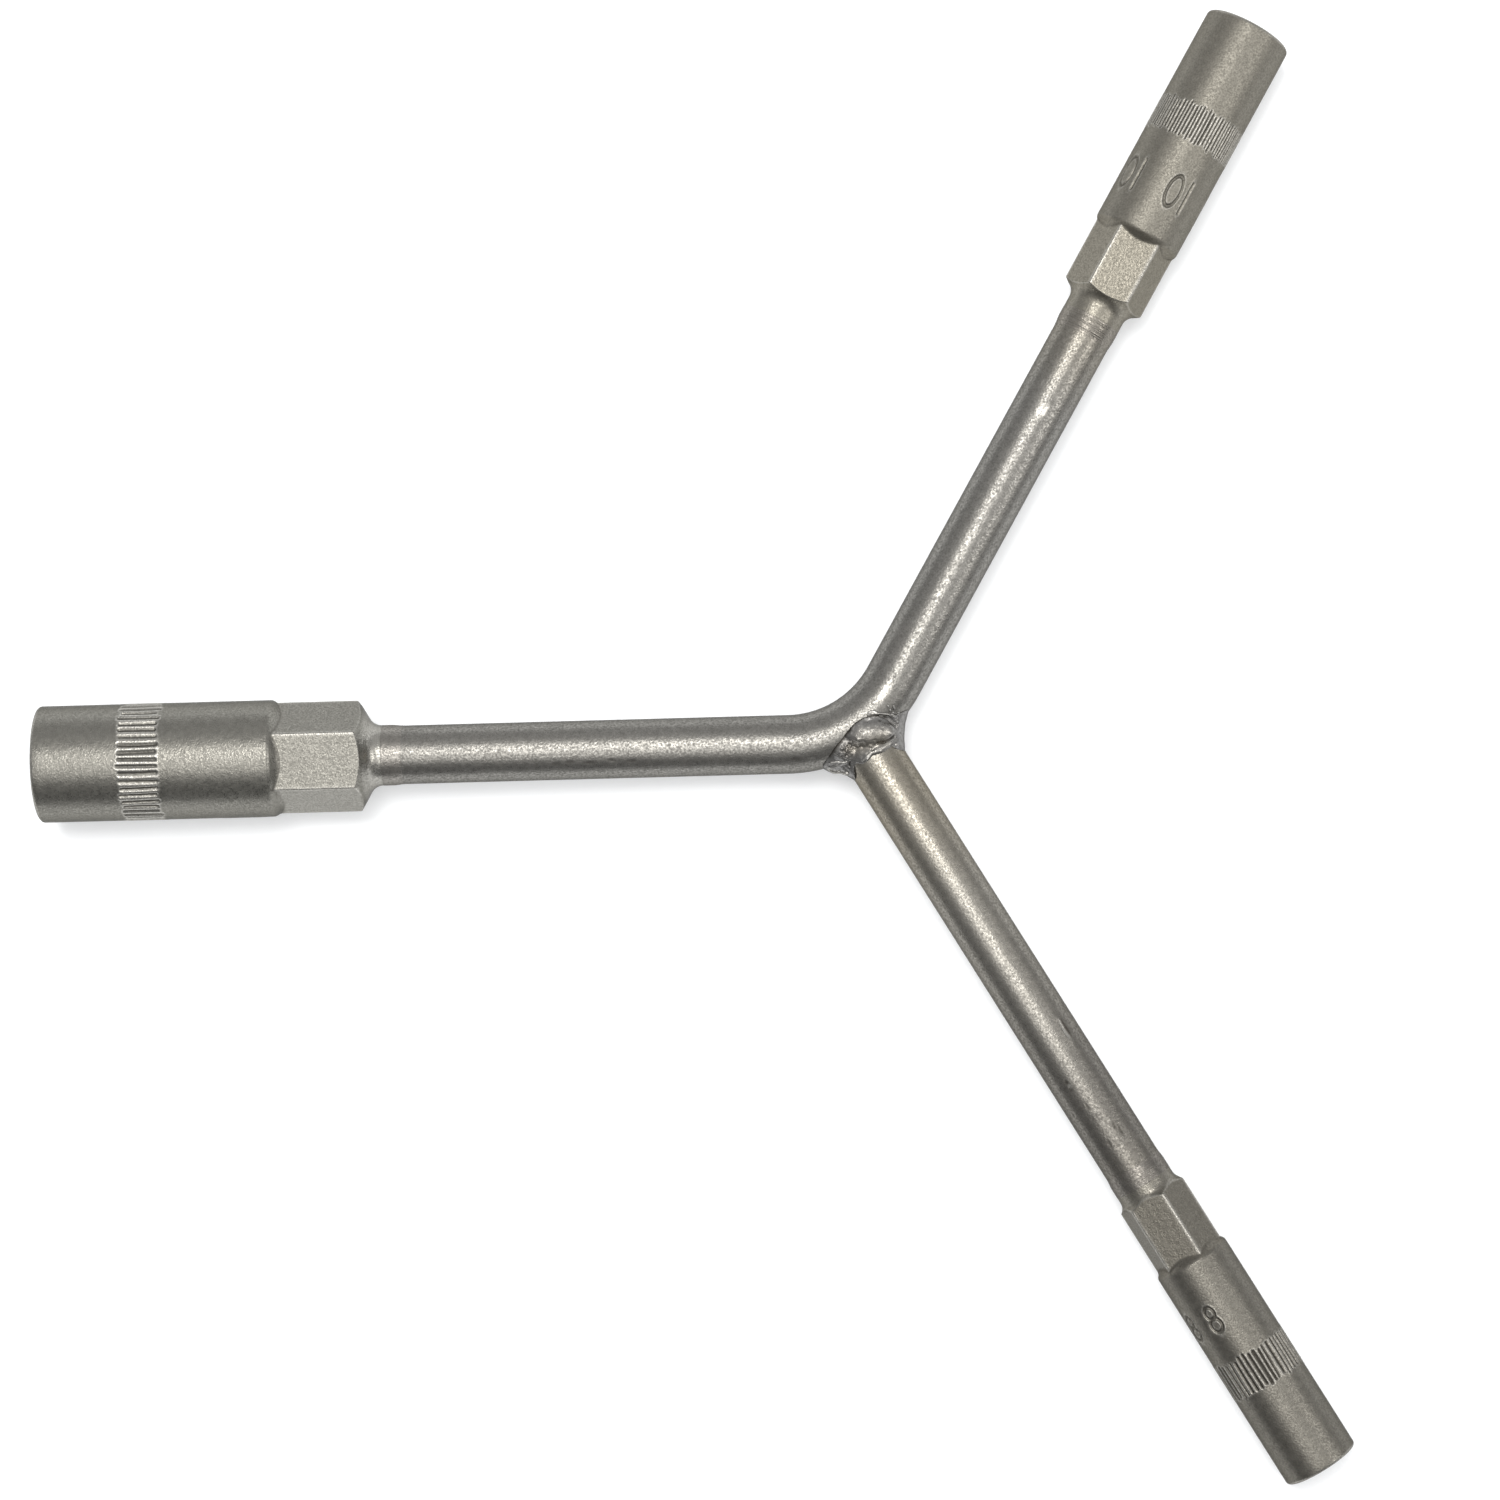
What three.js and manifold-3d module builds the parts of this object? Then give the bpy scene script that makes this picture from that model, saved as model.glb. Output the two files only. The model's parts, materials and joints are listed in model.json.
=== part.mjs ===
// Y wrench: a rigid three-armed handle with a six-point socket welded to the end of each arm.
//
// One round bar is bent at the hub and makes the left and the upper arm. A second, straight bar
// is cut square, butted on the outside of that bend and welded there: it makes the lower arm.
// Each socket is turned from one blank: a neck, an outside hexagon for a spanner, a 45 degree
// shoulder, a round body with a band of straight knurling, and a hexagonal hole.
//
// Lengths are millimetres. The arms are drawn in a plane, each in its own group whose +X runs
// out along the arm, and the finished tool is then tilted a little to lie on its three sockets.

import * as THREE from 'three';
import { mergeVertices } from 'three/addons/utils/BufferGeometryUtils.js';
import Module from 'manifold-3d';

// Driving dimensions.

const BAR_RADIUS = 5;
const BEND_RADIUS = 21;
const SEAM_GAP = 0.3;
const CUT_OVERRUN = 2;

// The hub: how the welds stand on the joint of the two bars.
const BEAD_CROWN = 1;
const BEAD_TOE = 1.2;
const BEAD_HALF_WIDTH = 5.4;
const BEAD_SHIFT = 1;
const WEB_HALF_THICKNESS = 3.2;
const WEB_SPREAD_SHARE = 1.1;
const WEB_ROOT = 3;

// The butt welds between bars and necks: a V groove, filled and turned flush.
const GROOVE_DEPTH = 1.8;

// The sockets.
const NECK_STEP = 0.15;
const NUT_CLEARANCE = 0.1;
const NUT_SEAT = 0.6;
const MOUTH_LEAD_IN = 0.3;
const MOUTH_ROUND = 0.5;
const KNURL_DEPTH = 0.4;

const HUB_CHAMFER_DEGREES = 30;
const DRILL_POINT_DEGREES = 59;
const CORNER_ANGLE = Math.PI / 3;

// The three sockets. A socket is measured back from its mouth, and its neck ends at the butt weld.
const SOCKETS = {
  large: {
    name: 'socket_14mm',
    weldName: 'butt_weld_14mm',
    nut: 14,
    hexAcross: 16.5,
    hexRollDegrees: -6.9,
    bodyRadius: 9.95,
    bodyLength: 40.2,
    hexLength: 15.2,
    neckLength: 5,
    neckFillet: 2.4,
    hexBoreDepth: 15,
    drilledDepth: 33,
    knurlFromMouth: 14.4,
    knurlLength: 6.6,
    knurlWidth: 0.55,
    knurlCount: 48,
  },
  medium: {
    name: 'socket_10mm',
    weldName: 'butt_weld_10mm',
    nut: 10,
    hexAcross: 12.7,
    hexRollDegrees: 4.4,
    bodyRadius: 7.65,
    bodyLength: 40.1,
    hexLength: 12.3,
    neckLength: 5.6,
    neckFillet: 2.4,
    hexBoreDepth: 12,
    drilledDepth: 33,
    knurlFromMouth: 16.6,
    knurlLength: 6.3,
    knurlWidth: 0.3,
    knurlCount: 76,
  },
  small: {
    name: 'socket_8mm',
    weldName: 'butt_weld_8mm',
    nut: 8,
    hexAcross: 10.9,
    hexRollDegrees: 15.5,
    bodyRadius: 6.65,
    bodyLength: 40.8,
    hexLength: 12.8,
    neckLength: 4,
    neckFillet: 1.9,
    hexBoreDepth: 11,
    drilledDepth: 33,
    knurlFromMouth: 16.6,
    knurlLength: 6.8,
    knurlWidth: 0.45,
    knurlCount: 44,
  },
};

// The three arms: the way each points, how far its axis passes from the hub, and its length.
const ARMS = {
  left: { degrees: 180, axisOffset: 0, reach: 139.9, socket: SOCKETS.large },
  upper: { degrees: 59.8, axisOffset: 0, reach: 138.5, socket: SOCKETS.medium },
  lower: { degrees: -59.3, axisOffset: 0.8, reach: 144.4, socket: SOCKETS.small },
};

// The two crotch welds: how far each runs from its corner along the bar and along the bend.
const CROTCHES = {
  left: { side: -1, alongBar: 2.7, alongBend: 3.4, hollow: 0.3 },
  right: { side: 1, alongBar: 4.2, alongBend: 4.3, hollow: 0.5 },
};

// Facets.
const BAR_SIDES = 36;
const BEND_STEPS = 12;
const SOCKET_SIDES = 48;
const ROUND_STEPS = 3;
const FILLET_STEPS = 4;
const BEAD_SEGMENTS = 24;
const BEAD_RINGS = 16;
const SETTLING_PASSES = 5;

// Small helpers.

const radians = THREE.MathUtils.degToRad;
const SQRT3 = Math.sqrt(3);
const UP = new THREE.Vector3(0, 0, 1);

const cornerRadius = (across) => across / SQRT3;

const wasm = await Module();
wasm.setup();

/** Turns a closed three.js geometry into a solid that can be cut and joined. */
function solidOf(geometry) {
  const bare = geometry.index ? geometry.toNonIndexed() : geometry.clone();
  bare.deleteAttribute('normal');
  bare.deleteAttribute('uv');
  const merged = mergeVertices(bare, SEAM_GAP * 1e-4);
  return new wasm.Manifold(new wasm.Mesh({
    numProp: 3,
    vertProperties: merged.attributes.position.array,
    triVerts: new Uint32Array(merged.index.array),
  }));
}

/** Turns a solid back into a three.js geometry. */
function geometryOf(solid) {
  const mesh = solid.getMesh();
  const geometry = new THREE.BufferGeometry();
  geometry.setAttribute('position', new THREE.BufferAttribute(mesh.vertProperties, 3));
  geometry.setIndex(new THREE.BufferAttribute(mesh.triVerts, 1));
  geometry.computeVertexNormals();
  return geometry;
}

/** Turns a profile of (radius, along) points about +X. */
function turned(profile, sides = SOCKET_SIDES) {
  const points = profile.map(([radius, along]) => new THREE.Vector2(radius, along));
  return new THREE.LatheGeometry(points, sides).rotateZ(-Math.PI / 2);
}

/** Points of an arc in (radius, along) terms, from one angle to another. */
function arc(centreRadius, centreAlong, radius, from, to, steps) {
  return Array.from({ length: steps + 1 }, (_, i) => {
    const angle = THREE.MathUtils.lerp(from, to, i / steps);
    return [centreRadius + radius * Math.cos(angle), centreAlong + radius * Math.sin(angle)];
  });
}

/** A six-sided bar along +X. With no roll, one of its flats faces +Z. */
function hexBar(across, from, to, roll) {
  const outline = new THREE.Shape();
  for (let corner = 0; corner < 6; corner += 1) {
    const angle = corner * CORNER_ANGLE;
    const place = [cornerRadius(across) * Math.cos(angle), cornerRadius(across) * Math.sin(angle)];
    if (corner === 0) outline.moveTo(...place);
    else outline.lineTo(...place);
  }
  const bar = new THREE.ExtrudeGeometry(outline, { depth: to - from, bevelEnabled: false });
  bar.rotateZ(CORNER_ANGLE / 2);
  bar.rotateY(Math.PI / 2);
  bar.rotateX(roll);
  return bar.translate(from, 0, 0);
}

function steel(color, roughness) {
  return new THREE.MeshStandardMaterial({ color, roughness, metalness: 1 });
}

function piece(name, geometry, material) {
  const mesh = new THREE.Mesh(geometry, material);
  mesh.name = name;
  return mesh;
}

// The bent bar.

const direction = (arm) => new THREE.Vector3(1, 0, 0).applyAxisAngle(UP, radians(arm.degrees));
const leftWay = direction(ARMS.left);
const upperWay = direction(ARMS.upper);
const halfBend = leftWay.angleTo(upperWay) / 2;
const bendCentre = leftWay.clone().add(upperWay).setLength(BEND_RADIUS / Math.sin(halfBend));
const tangentLength = BEND_RADIUS / Math.tan(halfBend);

/** Where the butt weld of an arm lies, measured from the hub. */
function seamAt({ reach, socket }) {
  return reach - socket.bodyLength - socket.hexLength - socket.neckLength;
}

/** Where the bar of an arm ends: half the seam gap short of its butt weld. */
function barEndAt(arm) {
  return seamAt(arm) - SEAM_GAP / 2;
}

/** The bent bar's centre line: one step along each straight and the rest round the bend. */
class BentCentreLine extends THREE.Curve {
  constructor(start, end, steps) {
    super();
    this.start = start;
    this.end = end;
    this.steps = steps;
    this.entry = leftWay.clone().multiplyScalar(tangentLength);
    this.exit = upperWay.clone().multiplyScalar(tangentLength);
    this.spoke = this.entry.clone().sub(bendCentre);
    this.turn = Math.PI - 2 * halfBend;
  }

  getPoint(t) {
    const step = t * this.steps;
    if (step < 1) return this.start.clone().lerp(this.entry, step);
    if (step > this.steps - 1) return this.end.clone().lerp(this.exit, this.steps - step);
    return this.spoke.clone().applyAxisAngle(UP, this.turned(t)).add(bendCentre);
  }

  turned(t) {
    const share = (t * this.steps - 1) / (this.steps - 2);
    return this.turn * THREE.MathUtils.clamp(share, 0, 1);
  }

  getTangent(t) {
    return leftWay.clone().negate().applyAxisAngle(UP, this.turned(t));
  }

  getPointAt(t) {
    return this.getPoint(t);
  }

  getTangentAt(t) {
    return this.getTangent(t);
  }
}

/** The bent bar, grown by `extra` for the space that other pieces stay out of. */
function bentBarSolid(extra) {
  const start = leftWay.clone().multiplyScalar(barEndAt(ARMS.left));
  const end = upperWay.clone().multiplyScalar(barEndAt(ARMS.upper));
  const section = new THREE.Shape().absarc(0, 0, BAR_RADIUS + extra, 0, 2 * Math.PI);
  const steps = BEND_STEPS + 2;
  const extrudePath = new BentCentreLine(start, end, steps);
  const curveSegments = BAR_SIDES / 2;
  return solidOf(new THREE.ExtrudeGeometry(section, { steps, extrudePath, curveSegments }));
}

// The butt welds.

const grooveRoot = BAR_RADIUS - GROOVE_DEPTH;

/** A ring that bevels an arm's end of the bent bar; it cuts towards the hub. */
function endBevel(arm) {
  const along = barEndAt(arm);
  const outside = BAR_RADIUS + CUT_OVERRUN;
  const ring = turned([
    [grooveRoot, along],
    [outside, along - (outside - grooveRoot)],
    [outside, along + CUT_OVERRUN],
    [grooveRoot, along + CUT_OVERRUN],
    [grooveRoot, along],
  ], BAR_SIDES);
  return solidOf(ring.rotateZ(radians(arm.degrees)));
}

/** The filler metal in the groove: flush with the bar, and clear of both bevels. */
function buttWeld(arm) {
  const along = seamAt(arm);
  const root = grooveRoot + SEAM_GAP * Math.SQRT2;
  const halfRoot = SEAM_GAP / 2;
  const halfTop = halfRoot + BAR_RADIUS - root;
  return turned([
    [root, along - halfRoot],
    [BAR_RADIUS, along - halfTop],
    [BAR_RADIUS + NECK_STEP, along],
    [BAR_RADIUS, along + halfTop],
    [root, along + halfRoot],
    [root, along - halfRoot],
  ], BAR_SIDES);
}

// The sockets.

/** The turned neck, its fillet and the chamfered blank that the outside hexagon is milled from. */
function neckAndHex(arm) {
  const { socket } = arm;
  const faceAt = seamAt(arm) + SEAM_GAP / 2;
  const neckRadius = BAR_RADIUS + NECK_STEP;
  const bodyFrom = arm.reach - socket.bodyLength;
  const hexFrom = bodyFrom - socket.hexLength;
  const slope = Math.tan(radians(HUB_CHAMFER_DEGREES));
  const chamferAt = (radius) => hexFrom + (radius - socket.hexAcross / 2) * slope;
  const sweep = Math.PI / 2 - radians(HUB_CHAMFER_DEGREES);
  const fillet = socket.neckFillet;
  const filletFrom = chamferAt(neckRadius) - fillet * Math.tan(sweep / 2);
  const blankRadius = cornerRadius(socket.hexAcross);
  const blank = turned([
    [0, faceAt],
    [grooveRoot, faceAt],
    [neckRadius, faceAt + neckRadius - grooveRoot],
    ...arc(neckRadius + fillet, filletFrom, fillet, Math.PI, Math.PI - sweep, FILLET_STEPS),
    [blankRadius, chamferAt(blankRadius)],
    [blankRadius, bodyFrom],
    [0, bodyFrom],
  ]);
  const roll = radians(socket.hexRollDegrees);
  const flats = hexBar(socket.hexAcross, faceAt - CUT_OVERRUN, bodyFrom + CUT_OVERRUN, roll);
  return solidOf(blank).intersect(solidOf(flats));
}

/** The round body: a 45 degree shoulder that rises from the axis, and a rounded mouth. */
function roundBody({ reach, socket }) {
  const { bodyRadius, bodyLength } = socket;
  const bodyFrom = reach - bodyLength;
  return solidOf(turned([
    [0, bodyFrom - bodyRadius],
    [bodyRadius, bodyFrom],
    ...arc(bodyRadius - MOUTH_ROUND, reach - MOUTH_ROUND, MOUTH_ROUND, 0, Math.PI / 2, ROUND_STEPS),
    [0, reach],
  ]));
}

/** The hole: a lead-in, the hexagon for the nut, a narrow seat and the drilled clearance behind it. */
function nutHole({ reach, socket }) {
  const across = socket.nut + NUT_CLEARANCE;
  const drillRadius = across / 2 - NUT_SEAT;
  const leadRadius = cornerRadius(across) + MOUTH_LEAD_IN;
  const pointLength = drillRadius / Math.tan(radians(DRILL_POINT_DEGREES));
  const shallow = reach - (leadRadius - drillRadius);
  const drilled = turned([
    [0, reach - socket.drilledDepth - pointLength],
    [drillRadius, reach - socket.drilledDepth],
    [drillRadius, shallow],
    [leadRadius, reach],
    [leadRadius, reach + CUT_OVERRUN],
    [0, reach + CUT_OVERRUN],
  ]);
  const roll = radians(socket.hexRollDegrees);
  const hexagon = hexBar(across, reach - socket.hexBoreDepth, reach + CUT_OVERRUN, roll);
  return solidOf(drilled).add(solidOf(hexagon));
}

/** The grooves of the knurled band, each a short slot along the body. */
function knurlGrooves({ reach, socket }) {
  const middle = reach - socket.knurlFromMouth - socket.knurlLength / 2;
  const slot = new THREE.BoxGeometry(socket.knurlLength, socket.knurlWidth, 2 * KNURL_DEPTH);
  slot.translate(middle, 0, socket.bodyRadius);
  let grooves = solidOf(slot);
  for (let count = 1; count < socket.knurlCount; count += 1) {
    const turn = (2 * Math.PI * count) / socket.knurlCount;
    grooves = grooves.add(solidOf(slot.clone().rotateX(turn)));
  }
  return grooves;
}

function socketGeometry(arm) {
  return geometryOf(neckAndHex(arm)
    .add(roundBody(arm))
    .subtract(nutHole(arm))
    .subtract(knurlGrooves(arm)));
}

// The hub, drawn in the lower arm's own frame.

const lower = ARMS.lower;
const toLowerFrame = new THREE.Matrix4().makeRotationZ(-radians(lower.degrees));
const bendCentreLocal = bendCentre.clone().applyMatrix4(toLowerFrame);
const bendCrestAt = bendCentreLocal.x + BEND_RADIUS;
const outerBendRadius = BEND_RADIUS + BAR_RADIUS;
const straightBarFrom = bendCentreLocal.x + outerBendRadius + SEAM_GAP;

/** The straight bar, cut square at the hub and bevelled at the socket end, grown by `extra`. */
function straightBar(extra) {
  const from = straightBarFrom - extra;
  const to = barEndAt(lower);
  const radius = BAR_RADIUS + extra;
  return turned([
    [0, from],
    [radius, from],
    [radius, to - (radius - grooveRoot)],
    [grooveRoot, to],
    [0, to],
  ], BAR_SIDES).translate(0, lower.axisOffset, 0);
}

/** Both bars, grown by the seam gap: the space that the hub welds stay out of. */
function barsWithClearance() {
  const bent = geometryOf(bentBarSolid(SEAM_GAP)).applyMatrix4(toLowerFrame);
  return solidOf(bent).add(solidOf(straightBar(SEAM_GAP)));
}

/** A bead across the joint, front (side 1) or back (side -1), as an oval grown by `extra`. */
function beadOval(side, extra) {
  const halfLength = (straightBarFrom - bendCrestAt) / 2 + BEAD_TOE;
  const centreAt = (straightBarFrom + bendCrestAt) / 2;
  const top = BAR_RADIUS + BEAD_CROWN;
  const centreHeight = BAR_RADIUS / 2;
  const oval = new THREE.SphereGeometry(1, BEAD_SEGMENTS, BEAD_RINGS);
  oval.scale(halfLength + extra, BEAD_HALF_WIDTH + extra, top - centreHeight + extra);
  return solidOf(oval.translate(centreAt, lower.axisOffset + BEAD_SHIFT, side * centreHeight));
}

/** The weld in one crotch: a web whose outer edge runs, slightly hollow, from bar to bend. */
function crotchWeb({ side, alongBar, alongBend, hollow }) {
  const barEdge = lower.axisOffset + side * BAR_RADIUS;
  const cornerTurn = Math.asin((barEdge - bendCentreLocal.y) / outerBendRadius);
  const bendToeTurn = cornerTurn + (side * alongBend) / outerBendRadius;
  const onBend = (turn) => new THREE.Vector2(Math.cos(turn), Math.sin(turn))
    .multiplyScalar(outerBendRadius)
    .add(new THREE.Vector2(bendCentreLocal.x, bendCentreLocal.y));
  const corner = onBend(cornerTurn);
  const barToe = new THREE.Vector2(corner.x + alongBar, barEdge);
  const bendToe = onBend(bendToeTurn);
  const middle = barToe.clone().lerp(bendToe, 0.5);
  const inward = corner.clone().sub(middle).setLength(hollow);
  const root = corner.clone().add(corner.clone().sub(middle).setLength(WEB_ROOT));
  const bow = middle.clone().addScaledVector(inward, 2);
  const outline = new THREE.Shape();
  outline.moveTo(barToe.x, barToe.y);
  outline.quadraticCurveTo(bow.x, bow.y, bendToe.x, bendToe.y);
  outline.lineTo(root.x, root.y);
  outline.closePath();
  const depth = 2 * WEB_HALF_THICKNESS;
  const curveSegments = FILLET_STEPS;
  const web = new THREE.ExtrudeGeometry(outline, { depth, bevelEnabled: false, curveSegments });
  const spread = WEB_SPREAD_SHARE * root.distanceTo(barToe);
  const rounding = new THREE.SphereGeometry(1, BEAD_SEGMENTS, BEAD_RINGS);
  rounding.scale(spread, spread, WEB_HALF_THICKNESS);
  return solidOf(web.translate(0, 0, -WEB_HALF_THICKNESS))
    .intersect(solidOf(rounding.translate(root.x, root.y, 0)));
}

/** The four welds of the hub, each cut clear of the bars and of the beads. */
function hubWelds() {
  const bars = barsWithClearance();
  const bothBeads = beadOval(1, SEAM_GAP).add(beadOval(-1, SEAM_GAP));
  return {
    front_weld_bead: beadOval(1, 0).subtract(bars),
    back_weld_bead: beadOval(-1, 0).subtract(bars),
    left_crotch_weld: crotchWeb(CROTCHES.left).subtract(bars).subtract(bothBeads),
    right_crotch_weld: crotchWeb(CROTCHES.right).subtract(bars).subtract(bothBeads),
  };
}

// Assembly.

const BAR_STEEL = steel(0x8d8a82, 0.42);
const SOCKET_STEEL = steel(0x94918a, 0.46);
const WELD_STEEL = steel(0x7d7a74, 0.5);

const wrench = new THREE.Group();

const bentBar = bentBarSolid(0)
  .subtract(endBevel(ARMS.left))
  .subtract(endBevel(ARMS.upper));
wrench.add(piece('bent_bar', geometryOf(bentBar), BAR_STEEL));

for (const arm of Object.values(ARMS)) {
  const group = new THREE.Group();
  group.rotation.z = radians(arm.degrees);
  const onAxis = new THREE.Group();
  onAxis.position.y = arm.axisOffset;
  onAxis.add(piece(arm.socket.name, socketGeometry(arm), SOCKET_STEEL.clone()));
  onAxis.add(piece(arm.socket.weldName, buttWeld(arm), WELD_STEEL.clone()));
  group.add(onAxis);
  if (arm === lower) {
    group.add(piece('straight_bar', straightBar(0), BAR_STEEL.clone()));
    for (const [name, weld] of Object.entries(hubWelds())) {
      group.add(piece(name, geometryOf(weld), WELD_STEEL.clone()));
    }
  }
  wrench.add(group);
}

// Lying on the bench.

/** The lowest point of one ring of a socket's body, for a bench whose normal is given. */
function lowestPoint(arm, ringAt, normal) {
  const way = direction(arm);
  const sideways = new THREE.Vector3().crossVectors(UP, way).multiplyScalar(arm.axisOffset);
  const down = normal.clone().negate();
  down.addScaledVector(way, -down.dot(way)).setLength(arm.socket.bodyRadius);
  return way.multiplyScalar(ringAt).add(sideways).add(down);
}

/** The bench touches the largest socket at its shoulder and the two smaller ones at their mouths. */
function benchNormal() {
  const shoulder = ARMS.left.reach - ARMS.left.socket.bodyLength;
  const bench = new THREE.Plane(UP.clone(), 0);
  for (let pass = 0; pass < SETTLING_PASSES; pass += 1) {
    bench.setFromCoplanarPoints(
      lowestPoint(ARMS.left, shoulder, bench.normal),
      lowestPoint(lower, lower.reach - MOUTH_ROUND, bench.normal),
      lowestPoint(ARMS.upper, ARMS.upper.reach - MOUTH_ROUND, bench.normal),
    );
  }
  return bench.normal;
}

wrench.quaternion.setFromUnitVectors(benchNormal(), UP);
wrench.updateMatrixWorld(true);
const box = new THREE.Box3().setFromObject(wrench, true);
const middle = box.getCenter(new THREE.Vector3());
wrench.position.set(-middle.x, -middle.y, -box.min.z);

export default wrench;
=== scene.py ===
# %% [markdown]
# # A welded Y wrench
# The real tool is three sockets on three arms. One round bar is bent at the hub and makes two of
# the arms, a second bar is welded on the outside of that bend, and everything is blasted and
# plated in one go, so the whole tool has the same warm grey, slightly sparkling skin. The CAD
# model already holds every piece in its place. This lesson dresses it: each piece is built again
# with the small forms that make it real, and gets a finish made from nodes.
#
# The first step loads the packed CAD model. Its pieces stay where they are, and the box around
# them is kept, so that the dressed tool can be compared with it at the end.

import json
import math
from types import SimpleNamespace

import bmesh
import bpy
import numpy as np
from mathutils import Matrix, Quaternion, Vector

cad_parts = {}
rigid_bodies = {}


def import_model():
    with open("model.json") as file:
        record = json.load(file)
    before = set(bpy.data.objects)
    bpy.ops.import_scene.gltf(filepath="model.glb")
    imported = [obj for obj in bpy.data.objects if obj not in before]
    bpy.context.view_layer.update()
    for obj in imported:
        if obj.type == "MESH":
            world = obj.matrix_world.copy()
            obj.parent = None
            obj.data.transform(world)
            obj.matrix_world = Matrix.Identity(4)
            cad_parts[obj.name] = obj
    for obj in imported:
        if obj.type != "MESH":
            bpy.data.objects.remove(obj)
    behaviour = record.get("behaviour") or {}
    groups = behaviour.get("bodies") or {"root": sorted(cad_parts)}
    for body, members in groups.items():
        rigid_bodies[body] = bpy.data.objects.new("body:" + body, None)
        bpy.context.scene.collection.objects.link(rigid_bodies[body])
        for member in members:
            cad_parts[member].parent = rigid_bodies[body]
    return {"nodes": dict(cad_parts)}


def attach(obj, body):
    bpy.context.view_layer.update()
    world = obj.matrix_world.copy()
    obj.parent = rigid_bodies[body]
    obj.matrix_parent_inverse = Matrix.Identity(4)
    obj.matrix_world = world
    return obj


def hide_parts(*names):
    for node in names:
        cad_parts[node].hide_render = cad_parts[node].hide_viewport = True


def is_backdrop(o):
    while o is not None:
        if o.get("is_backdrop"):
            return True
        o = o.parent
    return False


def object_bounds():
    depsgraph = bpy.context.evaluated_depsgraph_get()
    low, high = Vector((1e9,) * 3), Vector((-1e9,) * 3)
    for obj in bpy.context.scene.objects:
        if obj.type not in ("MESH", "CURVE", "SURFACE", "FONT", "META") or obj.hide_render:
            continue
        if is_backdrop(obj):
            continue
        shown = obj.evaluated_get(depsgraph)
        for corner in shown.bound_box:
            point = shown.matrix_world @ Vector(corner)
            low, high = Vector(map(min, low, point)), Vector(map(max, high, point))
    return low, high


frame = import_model()
cad_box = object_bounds()
print("CAD nodes:", ", ".join(sorted(frame["nodes"])))

# %% [markdown]
# ## Where the tool lies
# Every length below is in millimetres, as on the maker's drawing, and is turned into metres when
# a mesh is made. The arms are drawn flat, with the hub at the origin. The finished tool lies on
# its three sockets, which are not equally thick, so the drawing is tilted by about one degree.
# That tilt and the hub's place on the bench are two fixed values, the same as in the CAD. Each
# arm then gets a frame of its own whose X runs out along the arm and whose Z points up.

# %% The tool's lay on the bench
MM = 0.001
HUB_ON_BENCH = (30.0533, 1.7967, 8.3258)
BENCH_TILT = Quaternion((0.999965, 0.001903, 0.008139, 0.0))

lay = Matrix.Translation(HUB_ON_BENCH) @ BENCH_TILT.to_matrix().to_4x4()


def arm_frame(degrees, offset=0.0):
    """The frame of an arm, in millimetres, whose axis passes the hub at `offset`."""
    turn = Matrix.Rotation(math.radians(degrees), 4, "Z")
    return lay @ turn @ Matrix.Translation((0.0, offset, 0.0))


def on_bench(points, place):
    """Points of the drawing, an array in millimetres, as metres on the bench."""
    grid = np.array(place)
    return (points @ grid[:3, :3].T + grid[:3, 3]) * MM


print("the hub is", round(HUB_ON_BENCH[2], 2), "mm above the bench")

# %% [markdown]
# ## The camera
# The picture is taken from above with a lens that is long enough to keep the three sockets round,
# and it is held almost, but not quite, square to the bench. The camera's place is given in the
# drawing's frame. Three small turns follow: about the picture's X and Y axes, and in its plane.

# %% Camera
CAMERA_FROM_HUB = (-4.46, -26.0, 661.4)
CAMERA_TURNS = {"X": -0.0381, "Y": 0.0215, "Z": -0.0263}
LENS_MM = 93.35


def small_turn(axis):
    return Matrix.Rotation(CAMERA_TURNS[axis], 3, axis)


square_on = Matrix(((1, 0, 0), (0, -1, 0), (0, 0, -1)))
view_axes = small_turn("Z") @ small_turn("X") @ small_turn("Y") @ square_on
camera_axes = Matrix((view_axes[0], -view_axes[1], -view_axes[2])).transposed()
camera_data = bpy.data.cameras.new("bench_camera")
camera_data.lens = LENS_MM
camera_data.sensor_width = 36.0
camera_data.clip_start = 0.01
camera = bpy.data.objects.new("bench_camera", camera_data)
bpy.context.scene.collection.objects.link(camera)
camera_place = lay @ Matrix.Translation(CAMERA_FROM_HUB) @ camera_axes.to_4x4()
camera_place.translation *= MM
camera.matrix_world = camera_place
bpy.context.scene.camera = camera
print("camera height:", round(camera_place.translation.z, 3), "m")

# %% [markdown]
# ## Shader maths in plain Python
# A finish is a tree of nodes. Wiring it by hand takes many lines, so two small classes do it.
# `Wire` holds one output socket and turns `+`, `-` and `*` into Math nodes, whichever side of the
# sign the number stands on.

# %% Arithmetic on sockets
class Wire:
    """An output socket that can be used in arithmetic."""

    def __init__(self, finish, socket):
        self.finish = finish
        self.socket = socket

    def maths(self, operation, first, second):
        return self.finish.node("ShaderNodeMath", {"operation": operation}, {0: first, 1: second})

    def __add__(self, other):
        return self.maths("ADD", self, other)

    __radd__ = __add__

    def __sub__(self, other):
        return self.maths("SUBTRACT", self, other)

    def __rsub__(self, other):
        return self.maths("SUBTRACT", other, self)

    def __mul__(self, other):
        return self.maths("MULTIPLY", self, other)

    __rmul__ = __mul__


signs = [name for name in vars(Wire) if name.endswith(("add__", "sub__", "mul__"))]
print("a wire can do:", ", ".join(signs))

# %% [markdown]
# `Finish` holds the tree, and its one method `node` makes any node: its type, then its settings,
# then what goes into its sockets, which is either a number or a wire. The other methods name the
# few nodes that every finish here needs. The room's light has such a tree as well, so a finish
# can also be made for a world.

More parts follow.
